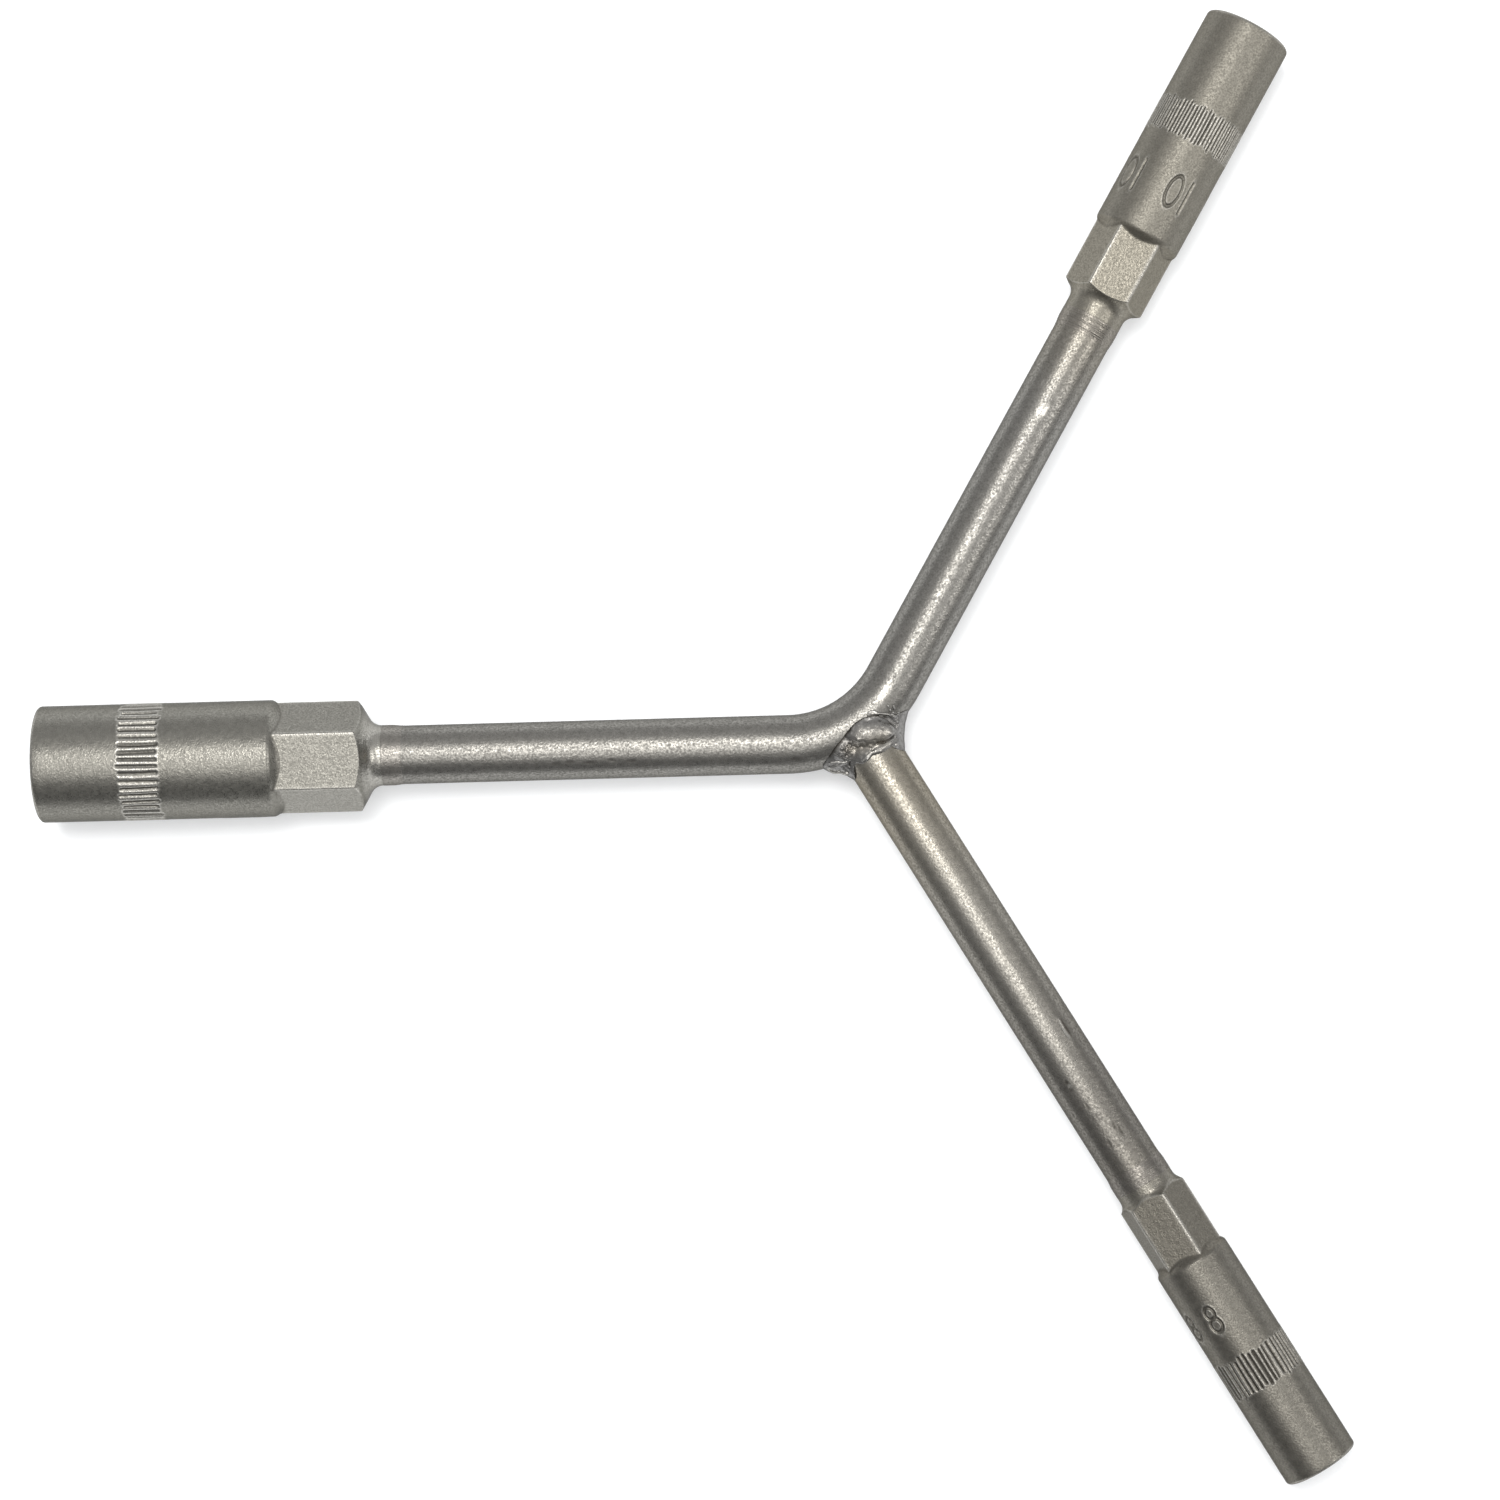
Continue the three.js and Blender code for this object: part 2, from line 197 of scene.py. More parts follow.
# %% A finish and its nodes
class Finish:
    """A material, or a world, and its node tree."""

    def __init__(self, name, kind=bpy.data.materials):
        self.owner = kind.new(name)
        self.owner.use_nodes = True
        self.tree = self.owner.node_tree
        self.tree.nodes.clear()

    def node(self, kind, settings=None, sockets=None, output=None):
        made = self.tree.nodes.new(kind)
        for name, value in (settings or {}).items():
            if name == "stops":
                self.set_stops(made.color_ramp, value)
            else:
                setattr(made, name, value)
        for key, value in (sockets or {}).items():
            target = self.find(made.inputs, key)
            if isinstance(value, Wire):
                self.tree.links.new(value.socket, target)
            else:
                target.default_value = value
        if not made.outputs:
            return None
        return Wire(self, self.find(made.outputs, output or 0))

    @staticmethod
    def find(sockets, key):
        if isinstance(key, int):
            return sockets[key]
        return next(s for s in sockets if s.enabled and key in (s.name, s.identifier))

    @staticmethod
    def set_stops(ramp, stops):
        while len(ramp.elements) > 1:
            ramp.elements.remove(ramp.elements[-1])
        for index, (place, level) in enumerate(stops):
            stop = ramp.elements[0] if index == 0 else ramp.elements.new(place)
            stop.position = place
            stop.color = (level, level, level, 1.0)

    def noise(self, vector, scale, detail, roughness):
        sockets = {"Vector": vector, "Scale": scale, "Detail": detail, "Roughness": roughness}
        return self.node("ShaderNodeTexNoise", {"noise_dimensions": "3D"}, sockets, "Fac")

    def ramp(self, value, stops):
        return self.node("ShaderNodeValToRGB", {"stops": stops}, {"Fac": value}, "Color")

    def blend(self, share, first, second, kind="MIX"):
        settings = {"data_type": "RGBA", "blend_type": kind}
        sockets = {"Factor": share, "A": first, "B": second}
        return self.node("ShaderNodeMix", settings, sockets, "Result")

    def painted(self, name):
        """A value painted on the mesh's points."""
        return self.node("ShaderNodeAttribute", {"attribute_name": name}, None, "Fac")


print("a finish can make:", ", ".join(name for name in vars(Finish) if name[0] != "_"))

# %% [markdown]
# ## Bench and light
# The tool lies on a white sheet in a bright room. The sheet is one large disc. It is lit so that
# it comes out white, and a little of its brightness is its own: Light Path tells a ray that the
# camera, a reflection or a clear piece sends from one that carries light on, and only the former
# see the extra. The shadow stays, because the extra is only a part of the sheet's brightness.

# %% The white sheet
bpy.context.scene.view_settings.view_transform = "Standard"
SHEET_COLOUR = (0.665, 0.68, 0.70, 1.0)
SHEET_GLOW = 0.32
SHEET_RADIUS_M = 12.0


def white_sheet():
    finish = Finish("white_sheet")
    names = ("Is Camera Ray", "Is Glossy Ray", "Is Transmission Ray")
    camera_ray, glossy, through = (finish.node("ShaderNodeLightPath", None, None, n) for n in names)
    seen = finish.node("ShaderNodeClamp", None, {"Value": camera_ray + glossy + through})
    matt = finish.node("ShaderNodeBsdfDiffuse", None, {"Color": SHEET_COLOUR})
    glow = finish.node("ShaderNodeEmission", None, {"Strength": SHEET_GLOW})
    both = finish.node("ShaderNodeAddShader", None, {0: matt, 1: glow})
    shown = finish.node("ShaderNodeMixShader", None, {0: seen, 1: matt, 2: both})
    finish.node("ShaderNodeOutputMaterial", None, {"Surface": shown})
    return finish.owner


bpy.ops.mesh.primitive_circle_add(vertices=96, radius=SHEET_RADIUS_M, fill_type="NGON")
sheet = bpy.context.object
sheet.name = "white_sheet"
sheet.data.materials.append(white_sheet())
sheet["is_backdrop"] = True
print("sheet radius:", SHEET_RADIUS_M, "m")

# %% [markdown]
# A metal shows what is around it. Seen from above, a round bar mirrors the ceiling along its
# top, the walls on its flanks and the sheet along its outer edges. So the room matters as much as
# the lamps: it is dim near the floor, brighter towards the ceiling, and brightest on the side of
# the window wall. The brightness follows from how far a direction leans to that side, which is a
# dot product.

# %% The dim room
BRIGHT_SIDE = (0.08, 0.50, 0.86)
ROOM_STOPS = [(0.0, 0.16), (0.40, 0.19), (0.62, 0.34), (0.80, 0.60), (1.0, 0.72)]

room = Finish("dim_room", bpy.data.worlds)
direction = room.node("ShaderNodeTexCoord", None, None, "Generated")
lean = room.node(
    "ShaderNodeVectorMath", {"operation": "DOT_PRODUCT"}, {0: direction, 1: BRIGHT_SIDE}, "Value"
)
level = room.ramp(lean * 0.5 + 0.5, ROOM_STOPS)
background = room.node("ShaderNodeBackground", None, {"Color": level})
room.node("ShaderNodeOutputWorld", None, {"Surface": background})
bpy.context.scene.world = room.owner
print("room levels:", [value for _, value in ROOM_STOPS])

# %% [markdown]
# Four soft round lamps finish the light. The ceiling lamp draws the bright line along the top of
# each bar. A weaker one lower down widens that line on one side, and the window lamp adds a faint
# second line. The last lamp lights the sheet and draws the short, soft shadow beside the tool. It
# is left out of reflections, because a metal would only show it as one more window.

# %% Lamps
LAMP_TINT = (1.0, 0.985, 0.955)


def soft_lamp(name, towards, distance, size, watts, mirrored=True):
    """A round lamp that faces the hub from a direction given in degrees off the vertical."""
    lamp = bpy.data.lights.new(name, "AREA")
    lamp.color = LAMP_TINT
    lamp.shape = "DISK"
    lamp.size = size
    lamp.energy = watts
    stand = bpy.data.objects.new(name, lamp)
    bpy.context.scene.collection.objects.link(stand)
    tilt_x, tilt_y = (math.tan(math.radians(a)) for a in towards)
    way = Vector((tilt_x, tilt_y, 1.0)).normalized()
    stand.location = way * distance
    stand.rotation_euler = way.to_track_quat("Z", "Y").to_euler()
    stand.visible_glossy = mirrored
    return stand


soft_lamp("ceiling_lamp", (2.0, 12.0), distance=1.6, size=0.75, watts=8.6)
soft_lamp("low_lamp", (-2.0, -13.0), distance=1.6, size=1.0, watts=5.0)
soft_lamp("window_lamp", (52.0, -6.0), distance=2.0, size=1.1, watts=9.0)
soft_lamp("shadow_lamp", (-9.0, 15.0), distance=1.8, size=0.7, watts=15.6, mirrored=False)

# %% [markdown]
# ## The plated steel
# Blasting leaves fine pits, and the plating over them is a soft mirror, so the surface sparkles
# in a grain of about a third of a millimetre. Three noises do that: a fine one for the grain, a
# middle one for the slightly uneven plating, and a wide one for the waves that forging and
# bending leave in a bar. `sparkle` is how much smoother the specks are than the rest, `contrast`
# how much lighter. Five values are painted on the meshes, in the order of PAINTED. The first is
# bright, rubbed metal together with painted highlights and painted reflections. The second makes
# grooves and nicks darker and is painted shade in corners and creases. The third is the straw
# tint that welding heat leaves, the fourth painted shade that darkens the colour where the tool
# gets less light, and the fifth a rougher plating.

# %% Finish of the steel
LIGHT_STEEL = (0.300, 0.291, 0.272)
DARK_STEEL = (0.158, 0.153, 0.142)
PLAIN = (1.0, 1.0, 1.0)
SOCKET_TINT = (1.0, 1.0, 0.97)
WELD_TINT = (1.06, 1.07, 1.12)
# Lighter steel for rubbed metal and for painted highlights and painted reflections.
WEAR_AND_SHEEN_STEEL = (0.52, 0.505, 0.47, 1.0)
# Near black for darker grooves and nicks, and for painted shade in corners and creases.
DARKENED_STEEL = (0.05, 0.045, 0.038, 1.0)
STRAW_TINT = (1.10, 1.037, 0.92, 1.0)
# Painted shade: this darkens the colour where the tool gets less light.
PAINTED_SHADE_TINT = (0.72, 0.72, 0.73, 1.0)
EDGE_TINT = (0.35, 0.35, 0.35, 1.0)
GRAINS, SOCKET_GRAINS, PATCHES, WAVES = 2700.0, 3300.0, 1100.0, 130.0
WAVE_MM = 0.04
PAINTED = ("worn", "hollow", "straw", "dull", "matt")


def plated_steel(name, roughness, sparkle, contrast, grain_mm, grains=GRAINS, tint=PLAIN):
    finish = Finish(name)
    place = finish.node("ShaderNodeTexCoord", None, None, "Object")
    grain = finish.noise(place, grains, 2.0, 0.6)
    patches = finish.noise(place, PATCHES, 2.0, 0.5)
    waves = finish.noise(place, WAVES, 1.0, 0.5)
    worn, hollow, straw, dull, matt = (finish.painted(key) for key in PAINTED)
    specks = finish.ramp(grain, [(0.33, 0.0), (0.65, 1.0)])
    cloud = finish.ramp(patches, [(0.34, 0.0), (0.66, 1.0)])

    light, dark = (
        tuple(c * t for c, t in zip(steel, tint)) + (1.0,) for steel in (LIGHT_STEEL, DARK_STEEL)
    )
    colour = finish.blend(specks * contrast + cloud * 0.2 + (0.4 - contrast / 2), dark, light)
    # The straw tint is the heat's own colour; the second paint is painted shade.
    for paint, changed in ((straw, STRAW_TINT), (dull, PAINTED_SHADE_TINT)):
        colour = finish.blend(paint, colour, finish.blend(1.0, colour, changed, "MULTIPLY"))
    # Rubbed metal and painted highlights make the colour lighter.
    colour = finish.blend(worn * (specks * 0.5 + 0.45), colour, WEAR_AND_SHEEN_STEEL)
    # Darker grooves and nicks, and painted shade in corners and creases.
    colour = finish.blend(hollow, colour, DARKENED_STEEL)

    rough = roughness - specks * (sparkle - matt * 0.12)
    for paint, rougher in ((cloud, 0.05), (matt, 0.07), (worn, -0.06), (hollow, 0.2)):
        rough = rough + paint * rougher
    height = grain * (grain_mm * MM) + patches * (grain_mm * MM) + waves * (WAVE_MM * MM)
    bump = finish.node("ShaderNodeBump", None, {"Strength": 1.0, "Distance": 1.0, "Height": height})
    sockets = {"Base Color": colour, "Metallic": 1.0, "Roughness": rough, "Normal": bump}
    sockets["Specular Tint"] = EDGE_TINT
    steel = finish.node("ShaderNodeBsdfPrincipled", None, sockets)
    finish.node("ShaderNodeOutputMaterial", None, {"Surface": steel})
    return finish.owner


bar_steel = plated_steel("bar_steel", 0.50, sparkle=0.27, contrast=0.7, grain_mm=0.036)
socket_steel = plated_steel(
    "socket_steel", 0.50, sparkle=0.31, contrast=0.36, grain_mm=0.042, grains=SOCKET_GRAINS,
    tint=SOCKET_TINT,
)
weld_steel = plated_steel(
    "weld_steel", 0.48, sparkle=0.26, contrast=0.6, grain_mm=0.042, tint=WELD_TINT
)
print("finishes:", [steel.name for steel in (bar_steel, socket_steel, weld_steel)])

# %% [markdown]
# ## A piece from points and faces
# Every piece becomes a mesh with smooth faces, one finish and five values painted on its points.
# Its volume is printed at once, because a negative one gives away faces that look inwards.

# %% Make a piece
def mesh_piece(name, points, faces, material, painted):
    """A smooth object. Each array in `painted` is for the first points, and the rest get 0."""
    mesh = bpy.data.meshes.new(name)
    mesh.from_pydata(points.tolist(), [], faces)
    mesh.polygons.foreach_set("use_smooth", [True] * len(mesh.polygons))
    for key in PAINTED:
        values = np.zeros(len(points), np.float32)
        paint = np.ravel(painted.get(key, []))
        values[:len(paint)] = np.clip(paint, 0.0, 1.0)
        mesh.attributes.new(key, "FLOAT", "POINT").data.foreach_set("value", values)
    mesh.materials.append(material)
    piece = bpy.data.objects.new(name, mesh)
    bpy.context.scene.collection.objects.link(piece)
    mesh.update()
    print(f"{name}: {len(points)} points, {len(faces)} faces, {volume_cm3(mesh):.3f} cm3")
    return piece


def volume_cm3(mesh):
    """The volume that a mesh encloses. It is negative if the faces look inwards."""
    copy = bmesh.new()
    copy.from_mesh(mesh)
    volume = copy.calc_volume(signed=True)
    copy.free()
    return volume * 1e6


print("painted on every piece:", ", ".join(PAINTED))

# %% [markdown]
# ## From rings to a closed mesh
# Bars and sockets are turned or drawn pieces, so each can be built as a row of rings, like the
# sections of a lathe drawing. The rings need not be round: a ring may be a hexagon, or have
# grooves pressed into it. Neighbouring rings are joined with faces, and a point closes each
# end. Where the next ring has fewer points, one face takes in several, which keeps the unseen
# inside of a socket light while its outside is fine.

# %% Skin a row of rings
def stations(stretches, end):
    """Places along an axis, from (start, step) stretches that follow one another up to `end`."""
    stops = [start for start, _ in stretches[1:]] + [end]
    places = []
    for (start, step), stop in zip(stretches, stops):
        count = max(1, round((stop - start) / step))
        places += list(np.linspace(start, stop, count, endpoint=False))
    return np.array(places + [end])


def ring_points(along, radius, angles):
    """Rings about X. Angle 0 points up, and all three values may be arrays."""
    along, radius, angles = np.broadcast_arrays(along, radius, angles)
    return np.stack([along, -radius * np.sin(angles), radius * np.cos(angles)], axis=-1)


def faces_between(first, second, start, next_start):
    """Faces that join two rings whose sizes are the same or a whole multiple of each other."""
    if first < second:
        return [face[::-1] for face in faces_between(second, first, next_start, start)]
    share = first // second
    faces = []
    for inner in range(second):
        outer = [start + (inner * share + k) % first for k in range(share + 1)]
        after = (inner + 1) % second
        faces.append(outer + [next_start + after, next_start + inner])
    return faces


def skin(name, rings, place, material, painted):
    """A closed mesh over `rings`, each an array of points in millimetres."""
    starts = np.cumsum([0] + [len(ring) for ring in rings])
    ends = np.array([rings[0].mean(axis=0), rings[-1].mean(axis=0)])
    points = on_bench(np.vstack(list(rings) + [ends]), place)
    faces = []
    for index in range(len(rings) - 1):
        sizes = len(rings[index]), len(rings[index + 1])
        faces += faces_between(*sizes, int(starts[index]), int(starts[index + 1]))
    for ring, pole, flip in ((0, 0, True), (len(rings) - 1, 1, False)):
        size = len(rings[ring])
        for k in range(size):
            fan = [int(starts[ring]) + k, int(starts[ring]) + (k + 1) % size]
            fan.append(int(starts[-1]) + pole)
            faces.append(fan[::-1] if flip else fan)
    return mesh_piece(name, points, faces, material, painted)


print("a stretch in steps of 2:", stations([(0, 2)], 6))

# %% [markdown]
# ## Softened edges
# No milled edge on the real tool is knife sharp: blasting rounds it. When two surfaces meet, the
# plain way is to take the smaller or the larger of their two radii at each point. A smooth
# minimum or maximum does the same but rounds the meeting line over a small width, and how close
# the two radii are also tells where that line runs, so the same step paints the worn edge. Two
# more helpers are for later: one folds an angle into a single turn, or into one of the equal
# shares of a hexagon or a knurl, and one measures how far points are from a line of corners.

# %% Smooth minimum and maximum
def closeness(first, second, width):
    return np.clip(1.0 - np.abs(first - second) / width, 0.0, 1.0)


def soft_min(first, second, width):
    return np.minimum(first, second) - width / 4.0 * closeness(first, second, width) ** 2


def soft_max(first, second, width):
    return -soft_min(-first, -second, width)


def soft_step(value):
    value = np.clip(value, 0.0, 1.0)
    return value * value * (3.0 - 2.0 * value)


def folded(angle, turn=2 * math.pi):
    """The angle less whole turns, from minus half a turn to half a turn."""
    return (angle + turn / 2) % turn - turn / 2


def line_distance(points, line):
    """The distance from a line of corners: in plan for (x, y) corners, else in space."""
    points = points[..., :len(line[0])]
    nearest = np.full(points.shape[:-1], 99.0)
    for start, end in zip(line, line[1:]):
        start, run = np.array(start), np.subtract(end, start)
        share = np.clip(((points - start) @ run) / (run @ run), 0.0, 1.0)
        off = np.linalg.norm(points - start - share[..., None] * run, axis=-1)
        nearest = np.minimum(nearest, off)
    return nearest


print("soft_min of 5 and 5.1:", round(float(soft_min(5.0, 5.1, 0.3)), 3))

# %% [markdown]
# ## The sockets' sizes
# All three sockets are turned from bar in the same way: a neck that is welded to the arm, a
# fillet, a hexagon for a spanner, a shoulder at 45 degrees, a round body with a knurled band and
# a rounded mouth. Only the numbers differ, so one table holds them: the forms first, then the
# grooves and the size number, then what is painted. The lines below it work out places along the
# arm, measured from the hub.

# %% Sizes of arms and sockets
BAR_RADIUS = 5.0
NECK_RADIUS = 5.15
SEAM_GAP = 0.15
CORNER = math.pi / 3
TAN_30 = math.tan(math.radians(30))

# The values after the size number say what is painted: darker grooves, rubbed ridges, a painted
# highlight on the neck, the flat with a painted reflection and how bright it is, the heat's straw
# tint, painted shade over the whole socket, and a rougher plating.
SOCKETS = {
    "14": SimpleNamespace(
        arm=180.0, offset=0.0, reach=139.9, across=16.5, roll=-6.9, body=9.95, body_length=40.2,
        hex_length=15.2, neck_length=5.0, fillet=2.4, nut_depth=15.0, knurl_at=14.6,
        knurl_length=7.1, grooves=48, points_per_groove=10, groove_width=0.58, number_far=108.0,
        number_height=5.6, number_centres=(-101.0, 139.0), groove_darkening=0.6, ridge_shine=1.0,
        neck_highlight=0.6, highlighted_flat=300.0, flat_highlight=0.5, straw=0.0, dull=0.0, matt=0.0,
    ),
    "10": SimpleNamespace(
        arm=59.8, offset=0.0, reach=138.5, across=12.7, roll=4.4, body=7.65, body_length=40.1,
        hex_length=12.3, neck_length=5.6, fillet=2.4, nut_depth=12.0, knurl_at=16.6,
        knurl_length=6.3, grooves=76, points_per_groove=6, groove_width=0.29, number_far=109.7,
        number_height=5.6, number_centres=np.arange(5) * 72.0 + 22.8, groove_darkening=1.0,
        ridge_shine=0.9, neck_highlight=0.1, highlighted_flat=0.0, flat_highlight=0.0, straw=0.6, dull=0.15,
        matt=1.0,
    ),
    "8": SimpleNamespace(
        arm=-59.3, offset=0.8, reach=144.4, across=10.9, roll=15.5, body=6.65, body_length=40.8,
        hex_length=12.8, neck_length=4.0, fillet=1.9, nut_depth=11.0, knurl_at=16.6,
        knurl_length=6.8, grooves=44, points_per_groove=12, groove_width=0.42, number_far=115.8,
        number_height=4.6, number_centres=(23.0, 66.0, 203.0, 246.0), groove_darkening=1.0,
        ridge_shine=0.45, neck_highlight=0.15, highlighted_flat=60.0, flat_highlight=0.35, straw=0.55, dull=1.0,
        matt=0.4,
    ),
}
for size in SOCKETS.values():
    size.body_from = size.reach - size.body_length
    size.hex_from = size.body_from - size.hex_length
    size.seam = size.hex_from - size.neck_length
    chamfer_at = size.hex_from + (NECK_RADIUS - size.across / 2) * TAN_30
    size.fillet_from = chamfer_at - size.fillet * TAN_30
    size.knurl_to = size.reach - size.knurl_at
    size.knurl_from = size.knurl_to - size.knurl_length
print("seams from the hub:", {name: round(s.seam, 1) for name, s in SOCKETS.items()})

# %% [markdown]
# ## A socket's outside
# The radius of a socket is a function of the place along the arm and the angle around it. The
# neck, its fillet and the 30 degree chamfer form a round blank. The hexagon cuts into it. The
# round body then rises out of the hexagon at 45 degrees, and this is what draws the curved
# scallops at both ends of every flat.

# %% Radius of the outside
HEX_CORNER_ROUND = 0.35
CHAMFER_SOFTNESS = 0.22
SHOULDER_SOFTNESS = 0.42
CORNER_SHINE, CORNER_SHINE_WIDTH = 0.8, 0.28
CHAMFER_SHINE, CHAMFER_SHINE_WIDTH = 0.45, 0.25
FOOT_SHADE, FOOT_SHADE_WIDTH = 0.35, 0.35
CLEAR_OF_ENDS = 0.4


def hexagon(angles, across, corner_round):
    """The radius of a hexagon with rounded corners. Angle 0 is the middle of a flat."""
    phi = np.abs(folded(angles, CORNER))
    inset = across / 2 - corner_round
    corner_y = inset * TAN_30
    flat = across / 2 / np.cos(phi)
    along = inset * np.cos(phi) + corner_y * np.sin(phi)
    under_root = corner_round**2 - inset**2 - corner_y**2 + along**2
    rounded = along + np.sqrt(np.maximum(under_root, 0.0))
    return np.where(flat * np.sin(phi) <= corner_y, flat, rounded)


def blank_radius(along, size):
    """The turned blank: neck, fillet and chamfer."""
    past = along - size.fillet_from
    fillet_length = size.fillet * math.sin(CORNER)
    into = np.clip(past, 0.0, fillet_length)
    curve = NECK_RADIUS + size.fillet - np.sqrt(size.fillet**2 - into**2)
    cone = size.across / 2 + (along - size.hex_from) / TAN_30
    return np.where(past > fillet_length, cone, curve)


def outside(along, angles, size):
    """(radius, worn, hollow) of the outside up to the mouth."""
    blank = blank_radius(along, size)
    flats = hexagon(angles, size.across, HEX_CORNER_ROUND)
    body = soft_min(size.body, size.body + along - size.body_from, SHOULDER_SOFTNESS)
    milled = soft_min(blank, flats, CHAMFER_SOFTNESS)
    radius = soft_max(milled, body, SHOULDER_SOFTNESS)
    off_corner = np.abs(np.abs(folded(angles, CORNER)) - CORNER / 2) * size.across / 2
    worn = CORNER_SHINE * np.exp(-((off_corner / CORNER_SHINE_WIDTH) ** 2))
    for inner, outer in ((flats, blank), (body, milled)):
        worn = worn * soft_step((outer - inner) / CLEAR_OF_ENDS)
    on_chamfer = closeness(blank, flats, CHAMFER_SHINE_WIDTH) * (milled > body)
    # Painted shade: the colour darkens along the foot, where the round body rises out of the flats.
    foot = closeness(milled, body, FOOT_SHADE_WIDTH)
    return radius, worn + CHAMFER_SHINE * on_chamfer, FOOT_SHADE * foot


print("corner radius of the 14:", round(float(hexagon(CORNER / 2, 16.5, HEX_CORNER_ROUND)), 2))

# %% [markdown]
# ## Knurling
# The knurled band is pressed in by a wheel. Its grooves are short and round-ended, no two have
# quite the same width, depth, lean or ends, and the ridges between them stand up a little and are
# rubbed bright. The mesh follows the grooves: the points of the rings in the band are shifted so
# that one always lies at the bottom of each.

# %% Grooves
GROOVE_SLOPE = 0.55
GROOVE_WIDTHS, GROOVE_DEPTHS = (0.75, 1.12), (0.65, 1.15)
GROOVE_END_SPREAD = 0.2
SHIFT_LEAN_BEND = (0.08, 0.12, 0.35)
RIDGE_HEIGHT = 0.04


def groove_shift(angles, size, draw, spread):
    """How far each point of the band is turned. `spread` is a share of the grooves' pitch."""
    pitch = 2 * math.pi / size.grooves
    shifts = draw.normal(0.0, spread, size.grooves).clip(-2 * spread, 2 * spread) * pitch
    nominal = np.append(np.arange(size.grooves), size.grooves) * pitch
    return np.interp(angles % (2 * math.pi), nominal, np.append(shifts, shifts[0]))


def uneven_angles(along, flat_angles, size, draw):
    """The angles of the outside's points, which follow the shifted, leaning, bent grooves."""
    in_band = soft_step((along - size.knurl_from + 1.4) / 0.8)
    in_band = in_band * soft_step((size.knurl_to + 1.4 - along) / 0.8)
    from_middle = (along - (size.knurl_from + size.knurl_to) / 2) / size.knurl_length
    angles = flat_angles + math.radians(size.roll)
    for power, spread in enumerate(SHIFT_LEAN_BEND):
        shift = groove_shift(flat_angles, size, draw, spread)
        angles = angles + in_band * from_middle**power * shift
    return angles


def groove_depth(along, angles, size, draw):
    """(depth, darkness, shine) of the knurled band. Here the angles are the unshifted ones."""
    pitch = 2 * math.pi / size.grooves
    number = np.round(angles / pitch).astype(int) % size.grooves
    off = np.abs(folded(angles, pitch)) * size.body
    half = size.groove_width * draw.uniform(*GROOVE_WIDTHS, size.grooves)[number]
    depth = GROOVE_SLOPE * half * draw.uniform(*GROOVE_DEPTHS, size.grooves)[number]
    ends = draw.normal(0.0, GROOVE_END_SPREAD, (2, size.grooves))
    ends = ends.clip(-2 * GROOVE_END_SPREAD, 2 * GROOVE_END_SPREAD)[:, number]
    start, end = size.knurl_from + ends[0], size.knurl_to + ends[1]
    past_end = np.maximum(np.abs(along - (start + end) / 2) - (end - start) / 2 + half, 0.0)
    cup = soft_step(1.0 - np.hypot(off, past_end) / half)
    inside = soft_step((along - start + 0.2) / 0.5) * soft_step((end + 0.2 - along) / 0.5)
    ridge = inside * (1.0 - cup) ** 2
    # The bottoms of the grooves are painted darker.
    return depth * cup - ridge * RIDGE_HEIGHT, size.groove_darkening * cup**3, size.ridge_shine * ridge


print("grooves around the body:", {name: s.grooves for name, s in SOCKETS.items()})

# %% [markdown]
# ## Size numbers
# Between shoulder and band each socket carries its nut size as plain numbers, rolled in more than
# once around the body. A text object and a boolean would do, but they would tear up the even
# rings. So a number is a few strokes, and the depth of a point depends on how far it is from the
# nearest one. The metal that a stroke pushes aside stands up beside it as a low, bright rim.

# %% Strokes of the numbers
STROKE_HALF_WIDTH, STROKE_DEPTH, STROKE_DARKENING = 0.33, 0.22, 0.35
RIM_AT, RIM_WIDTH, RIM_HEIGHT, RIM_SHINE = 0.52, 0.16, 0.04, 0.4
GLYPH_GAP, GLYPH_SQUEEZE = 0.2, 0.72


def oval(x, y, across, up, count):
    """A closed stroke round (x, y), from its bottom round to its bottom again."""
    turns = np.linspace(0, 2 * math.pi, count)
    return [(x + across * math.sin(t), y - up * math.cos(t)) for t in turns]


STROKES = {
    "0": [oval(0.3, 0.5, 0.3, 0.5, 25)],
    "1": [[(0.15, 1.0), (0.15, 0.0)]],
    "4": [[(0.48, 0.0), (0.48, 1.0), (0.0, 0.3), (0.66, 0.3)]],
    "8": [oval(0.3, 0.76, 0.24, 0.24, 19), oval(0.3, 0.27, 0.29, 0.27, 19)],
}
ADVANCE = {"0": 0.6, "1": 0.3, "4": 0.66, "8": 0.6}


def stroke_distance(points, text, height):
    """The distance of points from the strokes of a number whose middle is at 0."""
    nearest = np.full(points.shape[:-1], 9.0)
    width = sum(ADVANCE[letter] for letter in text) + GLYPH_GAP * (len(text) - 1)
    left = -width / 2
    for letter in text:
        for line in STROKES[letter]:
            corners = [((left + x) * height, y * height) for x, y in line]
            nearest = np.minimum(nearest, line_distance(points, corners))
        left += ADVANCE[letter] + GLYPH_GAP
    return nearest


def rolled_numbers(along, angles, size, text):
    """(depth, darkness, shine) of the size numbers, whose tops point to the hub."""
    depth, dark, shine = np.zeros((3, *angles.shape))
    for centre in np.radians(size.number_centres):
        x = -folded(angles - centre) * size.body / GLYPH_SQUEEZE
        y = size.number_far - along + 0 * x
        off = stroke_distance(np.stack([x, y], axis=-1), text, size.number_height)
        rim = np.exp(-(((off - RIM_AT) / RIM_WIDTH) ** 2))
        depth += STROKE_DEPTH * soft_step(1.3 - off / STROKE_HALF_WIDTH) - RIM_HEIGHT * rim
        shine += RIM_SHINE * rim
        # The strokes are painted darker.
        dark += STROKE_DARKENING * soft_step(1.05 - off / STROKE_HALF_WIDTH)
    return depth, dark, shine


